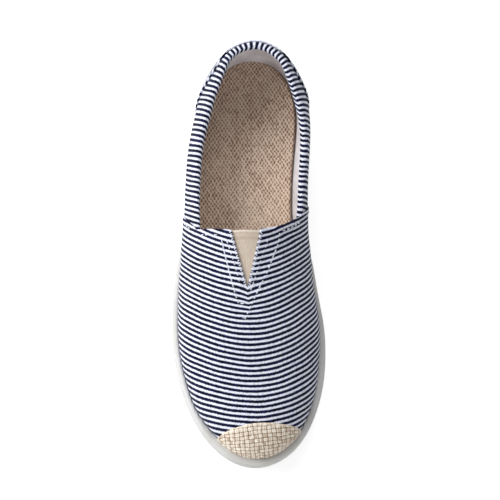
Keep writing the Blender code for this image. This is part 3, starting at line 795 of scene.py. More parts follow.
def striped_canvas():
    """Yarn-dyed cotton canvas, navy and off-white. It is matt with a little
    fuzz, plain woven at half a millimetre, and each stripe's edge steps by a
    yarn. Its chart holds stripes across and millimetres along."""
    finish = new_finish("striped_canvas")
    chart = add(finish, "UVMap", uv_map="chart")
    across = add(finish, "SeparateXYZ", (chart,), out="X")
    # a cell is one yarn wide and one crossing yarn long
    cells = add(finish, "VectorMath", (chart, (CANVAS_YARNS, 1 / YARN, 1.0)),
                operation="MULTIPLY")
    whole = add(finish, "VectorMath", (cells,), operation="FLOOR")
    chance = add(finish, "TexWhiteNoise", {"Vector": whole}, noise_dimensions="3D")
    shake = add(finish, "TexNoise", {"Vector": cells, "Scale": 0.8, "Detail": 2.0})
    # how far from a dark stripe's middle, in stripes, with the edge stepped
    jitter = add(finish, "Math", (chance, 0.07, across), operation="MULTIPLY_ADD")
    wobble = add(finish, "Math", (shake, 0.10, jitter), operation="MULTIPLY_ADD")
    centred = add(finish, "Math", (wobble, 0.085), operation="SUBTRACT")
    away = add(finish, "Math", (centred, 0.5), operation="PINGPONG")
    pale = add(finish, "MapRange", (away, DARK_SHARE / 2 - STRIPE_BLUR,
                                    DARK_SHARE / 2 + STRIPE_BLUR),
               interpolation_type="SMOOTHSTEP")
    # slubs in the crossing yarns
    drawn = add(finish, "Mapping", {"Vector": chart, "Scale": (0.35, 0.6, 1.0)})
    slub = add(finish, "TexNoise", {"Vector": drawn, "Scale": 1.0, "Detail": 1.0})
    mixed = add(finish, "Math", (slub, 2.4, chance), operation="MULTIPLY_ADD")
    worn = add(finish, "Math", (mixed, 0.4), operation="MULTIPLY")
    navy = set_ramp(add(finish, "ValToRGB", {"Fac": worn}), ((0.62, NAVY), (1.0, NAVY_WORN)))
    ecru = set_ramp(add(finish, "ValToRGB", {"Fac": worn}), ((0.42, ECRU_SHADED), (0.66, ECRU)))
    colour = add(finish, "Mix", {0: pale, 6: navy, 7: ecru}, out=2, data_type="RGBA")
    # the plain weave: yarns rise and fall by turns, both ways
    angle = add(finish, "VectorMath", (cells, (math.pi, math.pi, 0.0)), operation="MULTIPLY")
    waves = add(finish, "VectorMath", (angle,), operation="SINE")
    wave = add(finish, "SeparateXYZ", (waves,)).node.outputs
    bumps = add(finish, "Math", (wave["X"], wave["Y"]), operation="MULTIPLY")
    fuzz = add(finish, "Math", (chance, 0.6, bumps), operation="MULTIPLY_ADD")
    return dress(finish, colour, fuzz, 0.6, 0.1, {
        "Roughness": 0.9, "Specular IOR Level": 0.2, "Sheen Weight": 0.03})


*sides, push_lateral, push_medial = column_splines(ROLL)
roll_radius, padding = two_sided(*sides), two_sided(push_lateral, push_medial)


def wall_push(turns, v, top):
    """How far the collar's padding pushes the wall out: most of it near the top."""
    return padding(turns) * portion((v - FOOT) / (top - FOOT)) ** 9


def hem_profile(turns):
    """Rings of the quarter from its foot outside, up, over the rolled top, down
    the fold inside, and back down behind the lining to its foot. Returns the
    points and the index of the roll's crest."""
    station = station_at(turns)
    radius = roll_radius(turns)
    top = reach_at(turns, 2, collar_height(station) - radius)
    fold = reach_at(turns, 2, collar_height(station) - fold_depth(station))
    up = direction(last_point(turns, top) - last_point(turns, top - 1e-3))
    # its rows stand level with those inside, so that the ends can be closed
    v = np.concatenate([FOOT + (fold - FOOT) * np.linspace(0, 1, 23)[:, None],
                        fold + (top - fold) * np.linspace(0, 1, 23)[1:, None]])
    outer = skin(turns, v, wall_push(turns, v, top))
    around = np.linspace(0, math.pi, 16)[1:-1, None, None]
    roll = last_normal(turns, top) * (np.cos(around) - 1) + up * np.sin(around)
    roll = outer[-1] + radius[:, None] * roll
    down = np.linspace(0, 1, 22)[:, None]
    begin = wall_push(turns, top, top) - 2 * radius
    sunk = begin + (-FOLD_SUNK - begin) * ease(down * 1.4)
    inner = skin(turns, top + (fold - top) * down, sunk)
    hem = skin(turns, fold - 0.01 * np.array([[0.3], [0.5], [0.2]]), [[-2.3], [-2.0], [-1.5]])
    behind = skin(turns, fold + (FOOT - fold) * np.linspace(0, 1, 20)[:, None], -BEHIND_SUNK)
    return np.concatenate([outer, roll, inner, hem, behind]), len(outer) + len(around) // 2


turns = mirrored(heel_turns(12, QUARTER_ENDS[0], 130))
turns = turns[turns < turn_at(QUARTER_ENDS[1])]
rings, crest = hem_profile(turns)
rings = np.concatenate([rings, rings[:1]])
along = run_length(rings, 0)
depth = along[crest] - along
collar_run = run_length(rings[crest], 0)
collar_run = collar_run - np.interp(0.0, turns, collar_run)
from_heel = np.abs(collar_run)
gather = HEEL_GATHER * ease(from_heel / GATHER_END)
gather = gather + SIDE_GATHER * np.clip(from_heel - SIDE_GATHERED[0], 0, SIDE_GATHERED[1])
outside, inside = (lean(collar_run) for lean in column_splines(STRIPE_LEAN))
leaning = outside * np.maximum(depth, 0)
leaning = leaning - inside * FOLD_LEAN * np.tanh(np.minimum(depth, 0) / FOLD_LEAN)
stripes = (collar_run + np.sign(collar_run) * gather - leaning) / QUARTER_STRIPES
stripes = stripes + 0.05 * wander(collar_run, depth, 14.0, 3)
canvas = striped_canvas()
chart = np.stack([stripes, depth], axis=-1)
ends = [(rungs(rings[:-1, end]),) for end in (0, -1)]
quarter = make_piece("quarter", [(rings, chart), *ends], canvas)
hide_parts("upper")

# -------------------------------------------------------------------- gore
# A web of beige elastic that closes the notch in the vamp. It is sewn under
# both edges of the notch, with a hem turned at its top edge.

GORE_MARGIN = 5.0
GORE_SUNK = 0.75              # below the upper's outer face
GORE_THICKNESS = 1.3
GORE_RIB = 0.95
GORE_RIB_HEIGHT = 0.10
GORE_HEM = (1.9, 4.6, 5.4)    # fine lines below the top edge
GORE_LINE_WIDTH = 0.22        # half of it
GORE_LINE_DEPTH = 0.16
GORE_DIP = 0.35               # how far it sinks between the notch's edges
GORE_TOP = 1.4                # its edge, ahead of the notch's corners
# The pale end of the ramp carries the hem's painted highlight, the shaded end the lines'
# painted shade and the threads' noise.
ELASTIC = "#d6c7b6"
ELASTIC_SHADED = "#c5b29d"
ELASTIC_PALE = "#e6dacb"


def elastic_web():
    """Covered rubber elastic: a smooth, dull ribbed web. Its tone paints a
    highlight on the turned hem and shade in the fine lines' grooves.
    """
    finish = new_finish("elastic_web")
    chart = add(finish, "UVMap", uv_map="chart")
    stretched = add(finish, "Mapping", {"Vector": chart, "Scale": (2.6, 0.35, 1.0)})
    threads = add(finish, "TexNoise", {"Vector": stretched, "Scale": 1.0, "Detail": 3.0})
    hem = add(finish, "Attribute", out="Fac", attribute_name="tone")
    shade = add(finish, "Math", (hem, 0.5, threads), operation="MULTIPLY_ADD")
    tint = set_ramp(add(finish, "ValToRGB", {"Fac": shade}),
                    ((0.55, ELASTIC_SHADED), (0.85, ELASTIC), (1.0, ELASTIC_PALE)))
    picks = add(finish, "TexWave", {"Vector": chart, "Scale": 0.45}, out="Fac",
                wave_type="BANDS", bands_direction="Y")
    return dress(finish, tint, picks, 0.4, 0.08, {"Roughness": 0.7})


def hump(distance, width):
    """1 at no distance, fading smoothly on both sides to nearly 0 at two widths."""
    return np.exp(-(distance / width) ** 2)


def shell(outer, inner):
    """Grids of a closed sheet: both its faces, and a strip round its edge."""
    strip = [np.concatenate([grid[0], grid[1:, -1], grid[-1, -2::-1], grid[-2::-1, 0]])
             for grid in (outer, inner)]
    return outer, inner, np.array(strip)


def turn_over(x, station):
    """Turns of points in plan, on the ridge's lateral or medial side."""
    return np.where(x < ridge_x(station), -1, 1) * turn_at(station)


def face_over(x, station, low=BELLY_TOP):
    """Points on the upper's outer face over points in plan, and their normals."""
    turn = turn_over(x, station)
    v = reach_at(turn, 0, x - CENTRE, low)
    return last_point(turn, v), last_normal(turn, v)


corners = [THROAT[side][-1] for side in (-1, 1)]
tip_station, tip_x = NOTCH_TIP
begin = corners[1][0] + GORE_TOP
station = begin + (tip_station + GORE_MARGIN - begin) * np.linspace(0, 1, 90)[:, None]
to_tip = portion((tip_station - station) / (tip_station - corners[1][0]))
low, high = (tip_x + (corner_x - tip_x) * to_tip for _, corner_x in corners)
low, high = low - GORE_MARGIN, high + GORE_MARGIN
across = np.linspace(0, 1, 121)
x = low + (high - low) * across
place, normal = face_over(x, station)
from_top = run_length(place, 0)
lines = sum(hump(from_top - line, GORE_LINE_WIDTH) for line in GORE_HEM)
ribs = np.abs(np.sin(math.pi * (x - tip_x) / GORE_RIB))
lift = GORE_RIB_HEIGHT * ribs - GORE_LINE_DEPTH * lines - GORE_SUNK
lift = lift + 0.3 * ease(1 - from_top / 2.4) - 0.5 * (1 - ease(from_top / 0.5))
lift = lift - GORE_DIP * np.sin(math.pi * across) ** 2 * to_tip
faces = shell(place + normal * lift[..., None], place - normal * (GORE_SUNK + GORE_THICKNESS))
chart = np.stack([x, from_top], axis=-1)
# Painted light: a highlight on the hem above the first line, and painted shade in the lines'
# grooves.
tone = 0.6 + 0.4 * (from_top < GORE_HEM[0]) - 0.7 * portion(lines)
gore = make_piece("gore_web", [(faces[0], chart, tone), (faces[1], chart), (faces[2],)],
                  elastic_web())
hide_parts("gore")

# -------------------------------------------------------------------- vamp
# The front of the upper, one piece of the same canvas with its stripes running
# across the foot. Its back edge is hemmed and lapped over the quarters at both
# sides; across the throat and round the notch it is turned under.

VAMP_STRIPES = 3.055
VAMP_DARK = 157.17            # a dark stripe's middle, on the ridge
VAMP_LIFT = 0.45              # its outer face stands above the quarters'
BOW = {
    # A and R of the stripes' bow, and what each gains in 50 mm towards the toe
    -1: (0.00884, 48.9, -0.0035, 16.1),
    1: (0.01126, 51.5, -0.00248, 16.8),
}
BOW_STATION = 190.0           # where those are measured
TUCK = 2.2                    # how far they are drawn to the toe below the notch,
TUCK_REACH = 5.0              # at its deepest within this length of the ridge
TUCK_GROWS = (153.0, 5.0)     # from a station, and over what length
TUCK_FADES = (163.0, 14.0)
HEM = 3.7                     # width of the hem at its edge
HEM_THICKNESS = 0.30
ROW_DEPTH = 0.14              # how far its row of stitches draws it in
ROW_WIDTH = 0.35              # half the width of that trough
EDGE_RADIUS = 0.75            # of the fold at the edge
VAMP_SUNK = 0.5               # its back, below the upper's outer face
TURNED = 7.0                  # width of the cloth turned under
TURNED_THICKNESS = 0.75
NOTCH_START = 121.0           # the station from which the gore is there instead
LAP = 14.0                    # width that lies on the quarters
LAP_TOP = 0.56                # v up to which it does
LAP_LIFT = 0.12               # its back there, above the upper's outer face
EDGE_STEPS = (                # from the edge, of the points' columns near it
    0.0, 0.1, 0.3, 0.6, 1.0, 1.5, 2.1, 2.7, 3.1, 3.4, 3.7, 4.0, 4.4, 5.0, 5.8, 6.8, 8.0, 9.5,
)
RIDGE_STRETCH = 3.7           # how far apart they are drawn out at the ridge
CREASES = (
    # side, station, length down from the ridge, heading in degrees, half
    # length, half width, depth: soft troughs where the vamp has been folded
    (-1, 133, 36, 20, 14, 3.2, 0.55), (-1, 146, 44, 32, 18, 4.0, 0.45),
    (-1, 168, 30, 12, 20, 5.0, 0.30), (1, 127, 34, -18, 14, 3.2, 0.50),
    (1, 141, 42, -28, 18, 4.0, 0.45), (1, 170, 26, -10, 20, 5.0, 0.30),
    (-1, 205, 24, 8, 16, 5.0, 0.20), (1, 208, 20, -6, 16, 5.0, 0.20),
)


def edge_points(side, v):
    """Station of the vamp's back edge at each v, and how much further along the
    shoe than square to itself one has to go to leave it."""
    station = np.interp(v, *EDGES[side])
    place = last_point(side * turn_at(station), v)
    run = np.gradient(place, axis=0)
    ahead = last_point(side * turn_at(station + 0.5), v) - place
    crossing = np.linalg.norm(np.cross(run, ahead), axis=-1)
    stretch = np.linalg.norm(run, axis=-1) * np.linalg.norm(ahead, axis=-1) / crossing
    smooth = np.convolve(np.pad(stretch, 4, "edge"), np.full(9, 1 / 9), "valid")
    return station, np.clip(smooth, 1.0, 4.0)


def girth(turn, v):
    """Length down the section from the ridge to each point: 28 chords."""
    share = np.linspace(0, 1, 29).reshape(-1, *[1] * v.ndim)
    points = last_point(turn, v + (1 - v) * share)
    return np.linalg.norm(np.diff(points, axis=0), axis=-1).sum(axis=0)


def vamp_fabric(station, side, down):
    """Stripe number on the vamp. The stripes bow back towards the heel as the
    cloth is pulled down over the last: by A g^2 / sqrt(1 + (g / R)^2), where g
    is the length down from the ridge, and A and R change along the shoe. Below
    the notch's tip they are drawn to a point."""
    along = (station - BOW_STATION) / 50.0
    bow, reach, bow_gain, reach_gain = BOW[side]
    bow, reach = bow + bow_gain * along, reach + reach_gain * along
    pulled = bow * down ** 2 / np.sqrt(1 + (down / reach) ** 2)
    grown, faded = (ease((station - begin) / length)
                    for begin, length in (TUCK_GROWS, TUCK_FADES))
    tuck = TUCK * np.exp(-down / TUCK_REACH) * grown * (1 - faded)
    return (station + pulled - tuck - VAMP_DARK) / VAMP_STRIPES


def creases(station, side, down):
    """How far soft creases and slack push the canvas out or in: a trough for
    each row of the table, with a low ridge beside it, and a slight swell."""
    total = 0.14 * wander(station, side * down, 30.0, 11)
    for own, at, length, heading, half_length, half_width, depth in CREASES:
        turned = math.radians(heading)
        ahead, out = station - at, down - length
        run = out * math.cos(turned) - ahead * math.sin(turned)
        off = (out * math.sin(turned) + ahead * math.cos(turned)) / half_width
        trough = hump(run, half_length) * (hump(off, 1) - 0.6 * hump(off - 1.7, 1))
        total = total - np.where(side == own, depth * trough, 0.0)
    return total * ease(down / 8.0)


def rounded(distance, radius):
    """How far a sheet's two faces have closed up near its rounded edge: 1 at
    the edge and 0 from a radius inwards, as a quarter of a circle."""
    return 1 - np.sqrt(1 - (1 - portion(distance / radius)) ** 2)


def vamp_side(side):
    """Outer and inner grids of one side of the vamp, with the outer chart. Rows
    go up from the foot to the ridge, columns from the back edge to the toe."""
    corner = EDGES[side][0][-1 - SEAM_POINTS]
    v = np.unique(np.concatenate([
        np.linspace(FOOT, 0.0, 8), np.linspace(0.0, 1.0, 84),
        corner + np.linspace(-0.012, 0.012, 5), 1 - 0.004 * np.arange(4)]))
    back, stretch = edge_points(side, v)
    stretch = stretch + (RIDGE_STRETCH - stretch) * ease((v - 0.96) / 0.04)
    near = back[:, None] + np.array(EDGE_STEPS) * stretch[:, None]
    far = near[:, -1:] + (TIP - near[:, -1:]) * np.linspace(0, 1, 96)[1:] ** 0.9
    station = np.concatenate([near, far], axis=1)
    rows = v[:, None]
    turn = side * turn_at(station)
    place, normal = last_point(turn, rows), last_normal(turn, rows)
    fine = np.linspace(v[0], 1.0, 1200)
    edge = last_point(side * turn_at(np.interp(fine, *EDGES[side])), fine)
    away = np.full(station.shape, 99.0)
    away[:, 0] = 0.0
    close = slice(1, len(EDGE_STEPS) + 12)
    away[:, close] = np.linalg.norm(place[:, close, None] - edge, axis=-1).min(axis=-1)
    down = girth(turn, rows)
    above_rim = ease(rows / 0.12)
    slack = creases(station, side, down) * above_rim
    lapped = ease((LAP_TOP - rows) / 0.06) * ease((LAP - away) / 6.0)
    notched = ease((station - NOTCH_START) / 8.0) * ease((rows - 0.72) / 0.08)
    drawn_in = ROW_DEPTH * hump(away - HEM + 0.5, ROW_WIDTH)
    doubled = HEM_THICKNESS * (1 - ease((away - HEM + 0.2) / 0.9))
    out = (VAMP_LIFT + doubled - drawn_in) * above_rim + slack
    turned = TURNED_THICKNESS * (1 - ease((away - TURNED) / 1.5)) * (1 - notched)
    inside = LAP_LIFT * lapped - (VAMP_SUNK + turned) * (1 - lapped) + slack
    stripes = vamp_fabric(station, side, down) + 0.05 * wander(station, side * down, 17.0, 5)
    middle, closed = (out + inside) / 2, rounded(away, EDGE_RADIUS)
    outer, inner = (place + normal * (lift + (middle - lift) * closed)[..., None]
                    for lift in (out, inside))
    return outer, inner, np.stack([stripes, side * down], axis=-1)


grids = []
for outer, inner, chart in (vamp_side(side) for side in (-1, 1)):
    outer_edge, inner_edge, edge_chart = (
        np.concatenate([grid[0, ::-1], grid[1:, 0]]) for grid in (outer, inner, chart))
    grids += [(outer, chart), (inner, chart),
              (np.array([outer_edge, inner_edge]), np.array([edge_chart] * 2))]
vamp = make_piece("vamp", grids, canvas)
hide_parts("upper")

# -------------------------------------------------------------- heel patch
# A patch of the striped canvas with its stripes level, sewn over the quarters
# at the back of the heel. Its edge is turned under.

COUNTER_TOP = (
    # station, height
    (2, 55.0), (14, 53.5), (26, 46.0), (36, 36.0), (43, 29.0),
)
PATCH_LIFT = 1.25             # its outer face above the quarters'
PATCH_BACK = 0.15             # and its back
PATCH_RADIUS = 0.9            # of the fold at its edge
PATCH_ROW = 2.0               # the row of stitches, in from its edge
PATCH_ROW_DEPTH = 0.22        # how far it draws the patch in
PATCH_STRIPES = 3.1
PATCH_FOOT = 0.1              # above the rim

(counter_top,) = column_splines(COUNTER_TOP)
turns = mirrored(heel_turns(12, COUNTER_TOP[-1][0], 60))
station = station_at(turns)
low = reach_at(turns, 2, rim_height(station) + PATCH_FOOT)
high = np.maximum(reach_at(turns, 2, counter_top(station)), low + 0.01)
roll_foot = reach_at(turns, 2, collar_height(station) - roll_radius(turns))
steps = np.concatenate([[0, 0.01, 0.03, 0.06], np.linspace(0.1, 0.9, 38),
                        [0.92, 0.94, 0.955, 0.97, 0.985, 1]])
v = low + (high - low) * steps[:, None]
face, normal = last_point(turns, v), last_normal(turns, v)
up_wall = run_length(face, 0)
width = np.linalg.norm(face[0, 0] - face[0, -1])
from_end = np.abs(turns[-1] - np.abs(turns)) / turns[-1] * width
inward = np.minimum(np.minimum(up_wall[-1] - up_wall, up_wall), from_end * 1.6)
outer = PATCH_LIFT - PATCH_ROW_DEPTH * hump(inward - PATCH_ROW, ROW_WIDTH)
outer = outer + 0.05 * wander(up_wall, 40 * turns, 12.0, 7)
middle, closed = (PATCH_LIFT + PATCH_BACK) / 2, rounded(inward, PATCH_RADIUS)
pushed = wall_push(turns, v, roll_foot)
faces = shell(*(face + normal * (lift + (middle - lift) * closed + pushed)[..., None]
                for lift in (outer, PATCH_BACK)))
wide = up_wall[-1] > 2 * PATCH_ROW
sewn_v = np.array([np.interp(run[-1] - PATCH_ROW, run, steps) for run in up_wall[:, wide].T])
sewn_v = low[wide] + (high - low)[wide] * sewn_v
sewn_lift = PATCH_LIFT - 0.2 + wall_push(turns[wide], sewn_v, roll_foot[wide])
patch_row = skin(turns[wide], sewn_v, sewn_lift), last_normal(turns[wide], sewn_v)
chart = np.stack([(face[..., 2] - COUNTER_TOP[0][1]) / PATCH_STRIPES + 0.5,
                  run_length(face, 1)], axis=-1)
patch = make_piece("heel_patch", [(faces[0], chart), (faces[1], chart), (faces[2],)], canvas)
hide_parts("heel_counter")

# ----------------------------------------------------------------- toe cap
# A patch of coarse jute cloth over the toe: plain weave of paired yarns. Its
# top edge is turned under, and its foot is glued behind the rim.

CAP_EDGE = (
    # station, x: from the lateral corner to the medial one
    (244.6, -18.9), (240.9, -12.5), (239.0, -6.5), (237.5, -0.7), (236.7, 7.5),
    (236.9, 17.0), (237.6, 23.5), (239.4, 31.6),
)
CAP_LIFT = 1.0                # the cloth's middle, above the upper's outer face
CAP_BACK = 0.3                # and its back
CAP_RADIUS = 0.8              # of the fold at its edge
CAP_EDGE_LIFT = 0.45          # the fold's middle
CAP_HEM = 0.9                 # width of the part that lies flatter for it
CAP_FOOT = -0.1               # above the rim
CAP_PITCH = 0.26              # between the surface's points
WARP = 2.76                   # from one pair of yarns to the next, across the shoe
WEFT = 2.50                   # and along it
YARN_RISE = 0.26              # how far a pair climbs over the others
YARN_CROWN = 0.50             # height of its rounded backs
CAP_TURNED = -7.0             # degrees that the cloth lies turned
# The darker browns also stand for painted shade in the holes, the lightest for painted light on
# the crowns.
JUTE_DARK = "#55402e"
JUTE_SHADED = "#a88f78"
JUTE = "#e9d8c4"
JUTE_LIGHT = "#fffaee"


def jute_hessian():
    """Coarse jute cloth: dry, dull bast yarns with loose hairs. Its tone is
    painted light: pale on the yarns' crowns where they ride over the others,
    and brown painted shade in the holes."""
    finish = new_finish("jute_hessian")
    tone = add(finish, "Attribute", out="Fac", attribute_name="tone")
    chart = add(finish, "UVMap", uv_map="chart")
    hairs = add(finish, "TexNoise",
                {"Vector": chart, "Scale": 3.2, "Detail": 4.0, "Distortion": 0.6})
    mixed = add(finish, "Math", (hairs, 0.9, tone), operation="MULTIPLY_ADD")
    centred = add(finish, "Math", (mixed, 0.4), operation="SUBTRACT")
    tint = set_ramp(add(finish, "ValToRGB", {"Fac": centred}),
                    ((0.08, JUTE_DARK), (0.30, JUTE_SHADED), (0.58, JUTE), (0.92, JUTE_LIGHT)))
    return dress(finish, tint, hairs, 0.7, 0.2, {"Roughness": 0.88, "Sheen Weight": 0.1})


def read_off(points, run, at):
    """Points at given lengths along a row, by the lengths of its own points."""
    return np.stack([np.interp(at, run, column) for column in points.T], axis=-1)


edge = np.array(CAP_EDGE)
edge_station = spline(edge[:, 1], edge[:, 0])
feet = []
for side, corner in ((-1, edge[0, 0]), (1, edge[-1, 0])):
    station = corner + (TIP - corner) * np.sin(np.linspace(0, math.pi / 2, 400))
    feet.append(np.stack([outline_x("upper", station, side), station], axis=1))
feet = np.concatenate([feet[0], feet[1][-2::-1]])
feet_run = run_length(feet, 0)
rays = round(feet_run[-1] / CAP_PITCH)
along_foot = np.linspace(0, 1, rays)
foot = read_off(feet, feet_run, along_foot * feet_run[-1])
top_x = edge[0, 1] + (edge[-1, 1] - edge[0, 1]) * along_foot
top = np.stack([top_x, edge_station(top_x)], axis=1)
plan = foot + (top - foot) * np.linspace(0, 1, 150)[:, None, None] ** 2
coarse, _ = face_over(plan[..., 0], plan[..., 1], low=0.0)
coarse[..., 2] = np.maximum(coarse[..., 2], rim_height(plan[..., 1]) + CAP_FOOT)
run = run_length(coarse, 0)
even = np.linspace(0, 1, round(run[-1].max() / CAP_PITCH))
face = np.stack([read_off(coarse[:, i], run[:, i], even * run[-1, i]) for i in range(rays)],
                axis=1)
round_toe, up = np.gradient(face, axis=(1, 0))
normal = direction(np.cross(round_toe, up))
normal = normal * np.where(normal[..., 2:] < -0.2, -1, 1)
# unrolled from its top edge, each ray keeping its heading
from_top = run[-1] * (1 - even[:, None])
flat = top + direction(foot - top) * from_top[..., None]
x, y = flat[..., 0], flat[..., 1]
skewed = math.radians(CAP_TURNED)
warps = (x * math.cos(skewed) + y * math.sin(skewed)) / WARP + 0.10 * wander(x, y, 7.0, 21)
wefts = (y * math.cos(skewed) - x * math.sin(skewed)) / WEFT + 0.10 * wander(x, y, 7.0, 22)
# Its tone is painted shade in the holes and on the yarns' sides, lighter on the crowns.
relief, tone = weave(wefts, warps, YARN_RISE, YARN_CROWN, yarns=2, paler=0.2)
inward = np.minimum(from_top, np.minimum(along_foot, 1 - along_foot) * feet_run[-1])
hem = 1 - ease((inward - CAP_HEM) / 0.7)
relief = relief + (0.35 - relief) * 0.5 * hem
tone = tone + (0.7 - tone) * 0.3 * hem
closed = rounded(inward, CAP_RADIUS)
lift = (CAP_LIFT - 0.25 + relief) * (1 - closed) + CAP_EDGE_LIFT * closed
faces = shell(face + normal * lift[..., None], face + normal * CAP_BACK)
cap = make_piece("toe_cap_weave", [(faces[0], flat, tone), (faces[1], flat), (faces[2],)],
                 jute_hessian())
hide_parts("toe_cap")

# --------------------------------------------------------------- stitching
# Pale cotton thread. Single rows hold the vamp's hem at the side seams and along
# the throat, two rows each side of the notch hold the gore, an overcast row
# binds the notch's edges, and one row runs round the top of the heel patch.

THREAD = 0.36                 # radius
STITCH = 2.5                  # length of a stitch
STITCH_GAP = 0.9
HEM_ROW = 3.2                 # from the vamp's edge
HEM_LIFT = VAMP_LIFT + 0.12   # of the thread on the hem, above the quarters
OVERCAST = 1.5                # from one overcast stitch to the next
OVERCAST_WIDTH = 0.8
COTTON_THREAD = "#f4f6ff"
COTTON_THREAD_SHADED = "#ccd1e4"
GORE_ROWS = (
    # (x, station) down each row: two inner ones, then two outer ones with the
    # short bars that end them
    ((-15.6, 128.5), (-13.6, 134.0), (-9.9, 145.3), (-7.2, 154.5), (-5.0, 160.0)),
    ((9.6, 127.5), (7.6, 134.0), (3.4, 146.8), (1.2, 153.5), (-1.2, 160.0)),
    ((-18.4, 128.0), (-17.3, 132.7), (-15.5, 140.4), (-12.3, 152.6), (-9.4, 162.3),
     (-7.9, 166.6), (-1.6, 166.8)),
    ((16.3, 123.5), (15.9, 130.3), (12.4, 139.0), (9.2, 148.0), (4.3, 157.5), (-0.1, 167.3),
     (-2.4, 172.6), (-4.1, 176.2), (-6.6, 172.2)),
)


def cotton_thread():
    """Three-ply cotton sewing thread: soft, matt, ringed by its twist, with
    painted shade in the grooves of the twist.
    """
    finish = new_finish("cotton_thread")
    chart = add(finish, "UVMap", uv_map="chart")
    turned = add(finish, "Mapping", {"Vector": chart, "Rotation": (0, 0, 0.7)})
    twist = add(finish, "TexWave", {"Vector": turned, "Scale": 0.8}, out="Fac",
                wave_type="BANDS", bands_direction="X")
    tint = set_ramp(add(finish, "ValToRGB", {"Fac": twist}),
                    ((0.1, COTTON_THREAD_SHADED), (0.6, COTTON_THREAD)))
    return dress(finish, tint, twist, 0.6, 0.08, {"Roughness": 0.8})


def stitches(starts, ends, normals):
    """A grid for each stitch from a start to an end: a round thread that swells
    out of the cloth by a sine and sinks into it at both ends."""
    share = np.linspace(0, 1, 8)[:, None, None]
    around = np.linspace(0, 2 * math.pi, 9)[:, None]
    run = ends - starts
    side = direction(np.cross(run, normals))
    radius = THREAD * np.sqrt(1 - (2 * share - 1) ** 4)
    starts, run, side, normals = (each[:, None, None] for each in (starts, run, side, normals))
    out = 0.3 * np.sin(math.pi * share) - 0.1 + radius * np.cos(around)
    grid = starts + run * share + normals * out + side * radius * np.sin(around)
    chart = np.stack(np.broadcast_arrays(STITCH * share[..., 0], THREAD * around.T), axis=-1)
    return grid, np.broadcast_to(chart, grid.shape[:-1] + (2,))


def along_row(points, normals, length=STITCH, gap=STITCH_GAP):
    """Starts, ends and normals of the stitches along a row."""
    run = run_length(points, 0)
    starts = np.arange(gap, run[-1] - length, length + gap)
    return (read_off(points, run, starts), read_off(points, run, starts + length),
            read_off(normals, run, starts + length / 2))


def on_vamp(turn, v, lift):
    """Points on the vamp's outer face, raised by lift, and their normals."""
    normal = last_normal(turn, v)
    slack = creases(station_at(turn), np.sign(turn), girth(turn, v))
    return last_point(turn, v) + normal * (lift + slack)[..., None], normal


def on_vamp_plan(row, lift):
    """The same for a row given in plan as (x, station)."""
    row = np.array(row)
    knots = run_length(row, 0)
    x, station = read_off(row, knots, np.linspace(0, knots[-1], 200)).T
    turn = turn_over(x, station)
    v = np.minimum(reach_at(turn, 0, x - CENTRE, BELLY_TOP), 0.998)
    return on_vamp(turn, v, lift)


sewn = [along_row(*on_vamp_plan(row, VAMP_LIFT)) for row in GORE_ROWS]
for side in (-1, 1):
    v = np.linspace(0.02, EDGES[side][0][SEAM_POINTS], 120)
    station, stretch = edge_points(side, v)
    turn = side * turn_at(station + HEM_ROW * stretch)
    sewn.append(along_row(*on_vamp(turn, v, HEM_LIFT)))
    throat = np.array(THROAT[side])[:, ::-1] + [0.0, HEM_ROW + 0.3]
    sewn.append(along_row(*on_vamp_plan(throat[:-1], HEM_LIFT)))
    bound = np.array([THROAT[side][-1][::-1], NOTCH_TIP[::-1]]) + [side * 0.35, 0.0]
    starts, ends, normals = along_row(*on_vamp_plan(bound, VAMP_LIFT + 0.18), OVERCAST_WIDTH,
                                      OVERCAST - OVERCAST_WIDTH)
    outwards = direction(np.cross(normals, ends - starts))
    outwards = outwards * np.sign(outwards[:, :1]) * side
    sewn.append([starts - 0.3 * outwards, ends + 1.3 * outwards, normals])
sewn.append(along_row(*patch_row))
stitching = make_piece("stitching", [stitches(*row) for row in sewn], cotton_thread())
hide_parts("upper")

# ------------------------------------------------------------------ studio
# A white light table under the sole, a large soft lamp at the shoe's lateral
# side, weaker ones behind the heel and before the toe, a white room, and a
# camera almost straight above.

VIEW_WIDTH = 308.25           # millimetres across the view at the shoe
DISTANCE = 1400.0
CAMERA_TURN = 3.0             # degrees that it looks from the lateral side
CAMERA_RISE = 80.0            # degrees above the horizon, from the toe
AIM_HEIGHT = 25.0
AIM_BACK = 2.16               # how far behind the sole's middle it looks
FLOOR_SIZE = 3                # half its width, in metres
FLOOR_WHITE = "#f4f4f4"
FLOOR_GLOW = 0.66             # the table's own light, as the camera sees it
ROOM_LIGHT = 0.275
LAMPS = (
    # name, place in metres, size in metres, power in watts
    ("key", (-1.6, 0.6, 1.3), 1.7, 43.0),
    ("back", (0.1, 1.4, 1.5), 1.0, 10.0),
    ("toe", (-0.3, -2.0, 0.8), 1.2, 12.0),
)

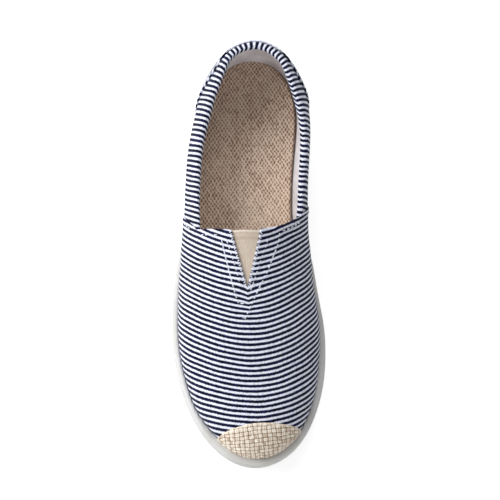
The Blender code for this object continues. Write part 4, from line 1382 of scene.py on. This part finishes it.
scene = bpy.context.scene
floor_mesh = bpy.data.meshes.new("floor")
floor_corners = [(x * FLOOR_SIZE, y * FLOOR_SIZE, 0)
                 for x, y in ((-1, -1), (1, -1), (1, 1), (-1, 1))]
floor_mesh.from_pydata(floor_corners, [], [(0, 1, 2, 3)])
floor_finish = new_finish("light_table")
floor_shader = floor_finish.node_tree.nodes["Principled BSDF"]
floor_shader.inputs["Base Color"].default_value = linear(FLOOR_WHITE)
floor_shader.inputs["Emission Color"].default_value = linear(FLOOR_WHITE)
seen = add(floor_finish, "LightPath", out="Is Camera Ray")
glow = add(floor_finish, "Math", (seen, FLOOR_GLOW), operation="MULTIPLY")
floor_finish.node_tree.links.new(glow, floor_shader.inputs["Emission Strength"])
floor_shader.inputs["Roughness"].default_value = 0.9
floor_mesh.materials.append(floor_finish)
floor = bpy.data.objects.new("floor", floor_mesh)
scene.collection.objects.link(floor)

world = bpy.data.worlds.new("studio")
world.use_nodes = True
scene.world = world
room = world.node_tree.nodes["Background"].inputs
room["Color"].default_value = (1.0, 1.0, 1.0, 1.0)
room["Strength"].default_value = ROOM_LIGHT

for name, place, size, power in LAMPS:
    lamp = bpy.data.lights.new(name, "AREA")
    lamp.shape = "DISK"
    lamp.size = size
    lamp.energy = power
    holder = bpy.data.objects.new(name, lamp)
    holder.location = place
    holder.rotation_euler = mathutils.Vector(place).to_track_quat("Z", "Y").to_euler()
    scene.collection.objects.link(holder)

back = direction(np.array([-math.tan(math.radians(CAMERA_TURN)),
                           -1 / math.tan(math.radians(CAMERA_RISE)), 1.0]))
up = direction(np.array([0.0, 1.0, 0.0]) - back[1] * back)
right = np.cross(up, back)
place = (np.array([0.0, 0.0, AIM_HEIGHT]) + up * AIM_BACK + back * DISTANCE) * MM
view = bpy.data.cameras.new("camera")
view.lens = view.sensor_width * DISTANCE / VIEW_WIDTH
camera = bpy.data.objects.new("camera", view)
rows = np.stack([right, up, back, place], axis=1)
camera.matrix_world = mathutils.Matrix([*rows.tolist(), (0, 0, 0, 1)])
scene.collection.objects.link(camera)
scene.camera = camera
scene.view_settings.view_transform = "Standard"
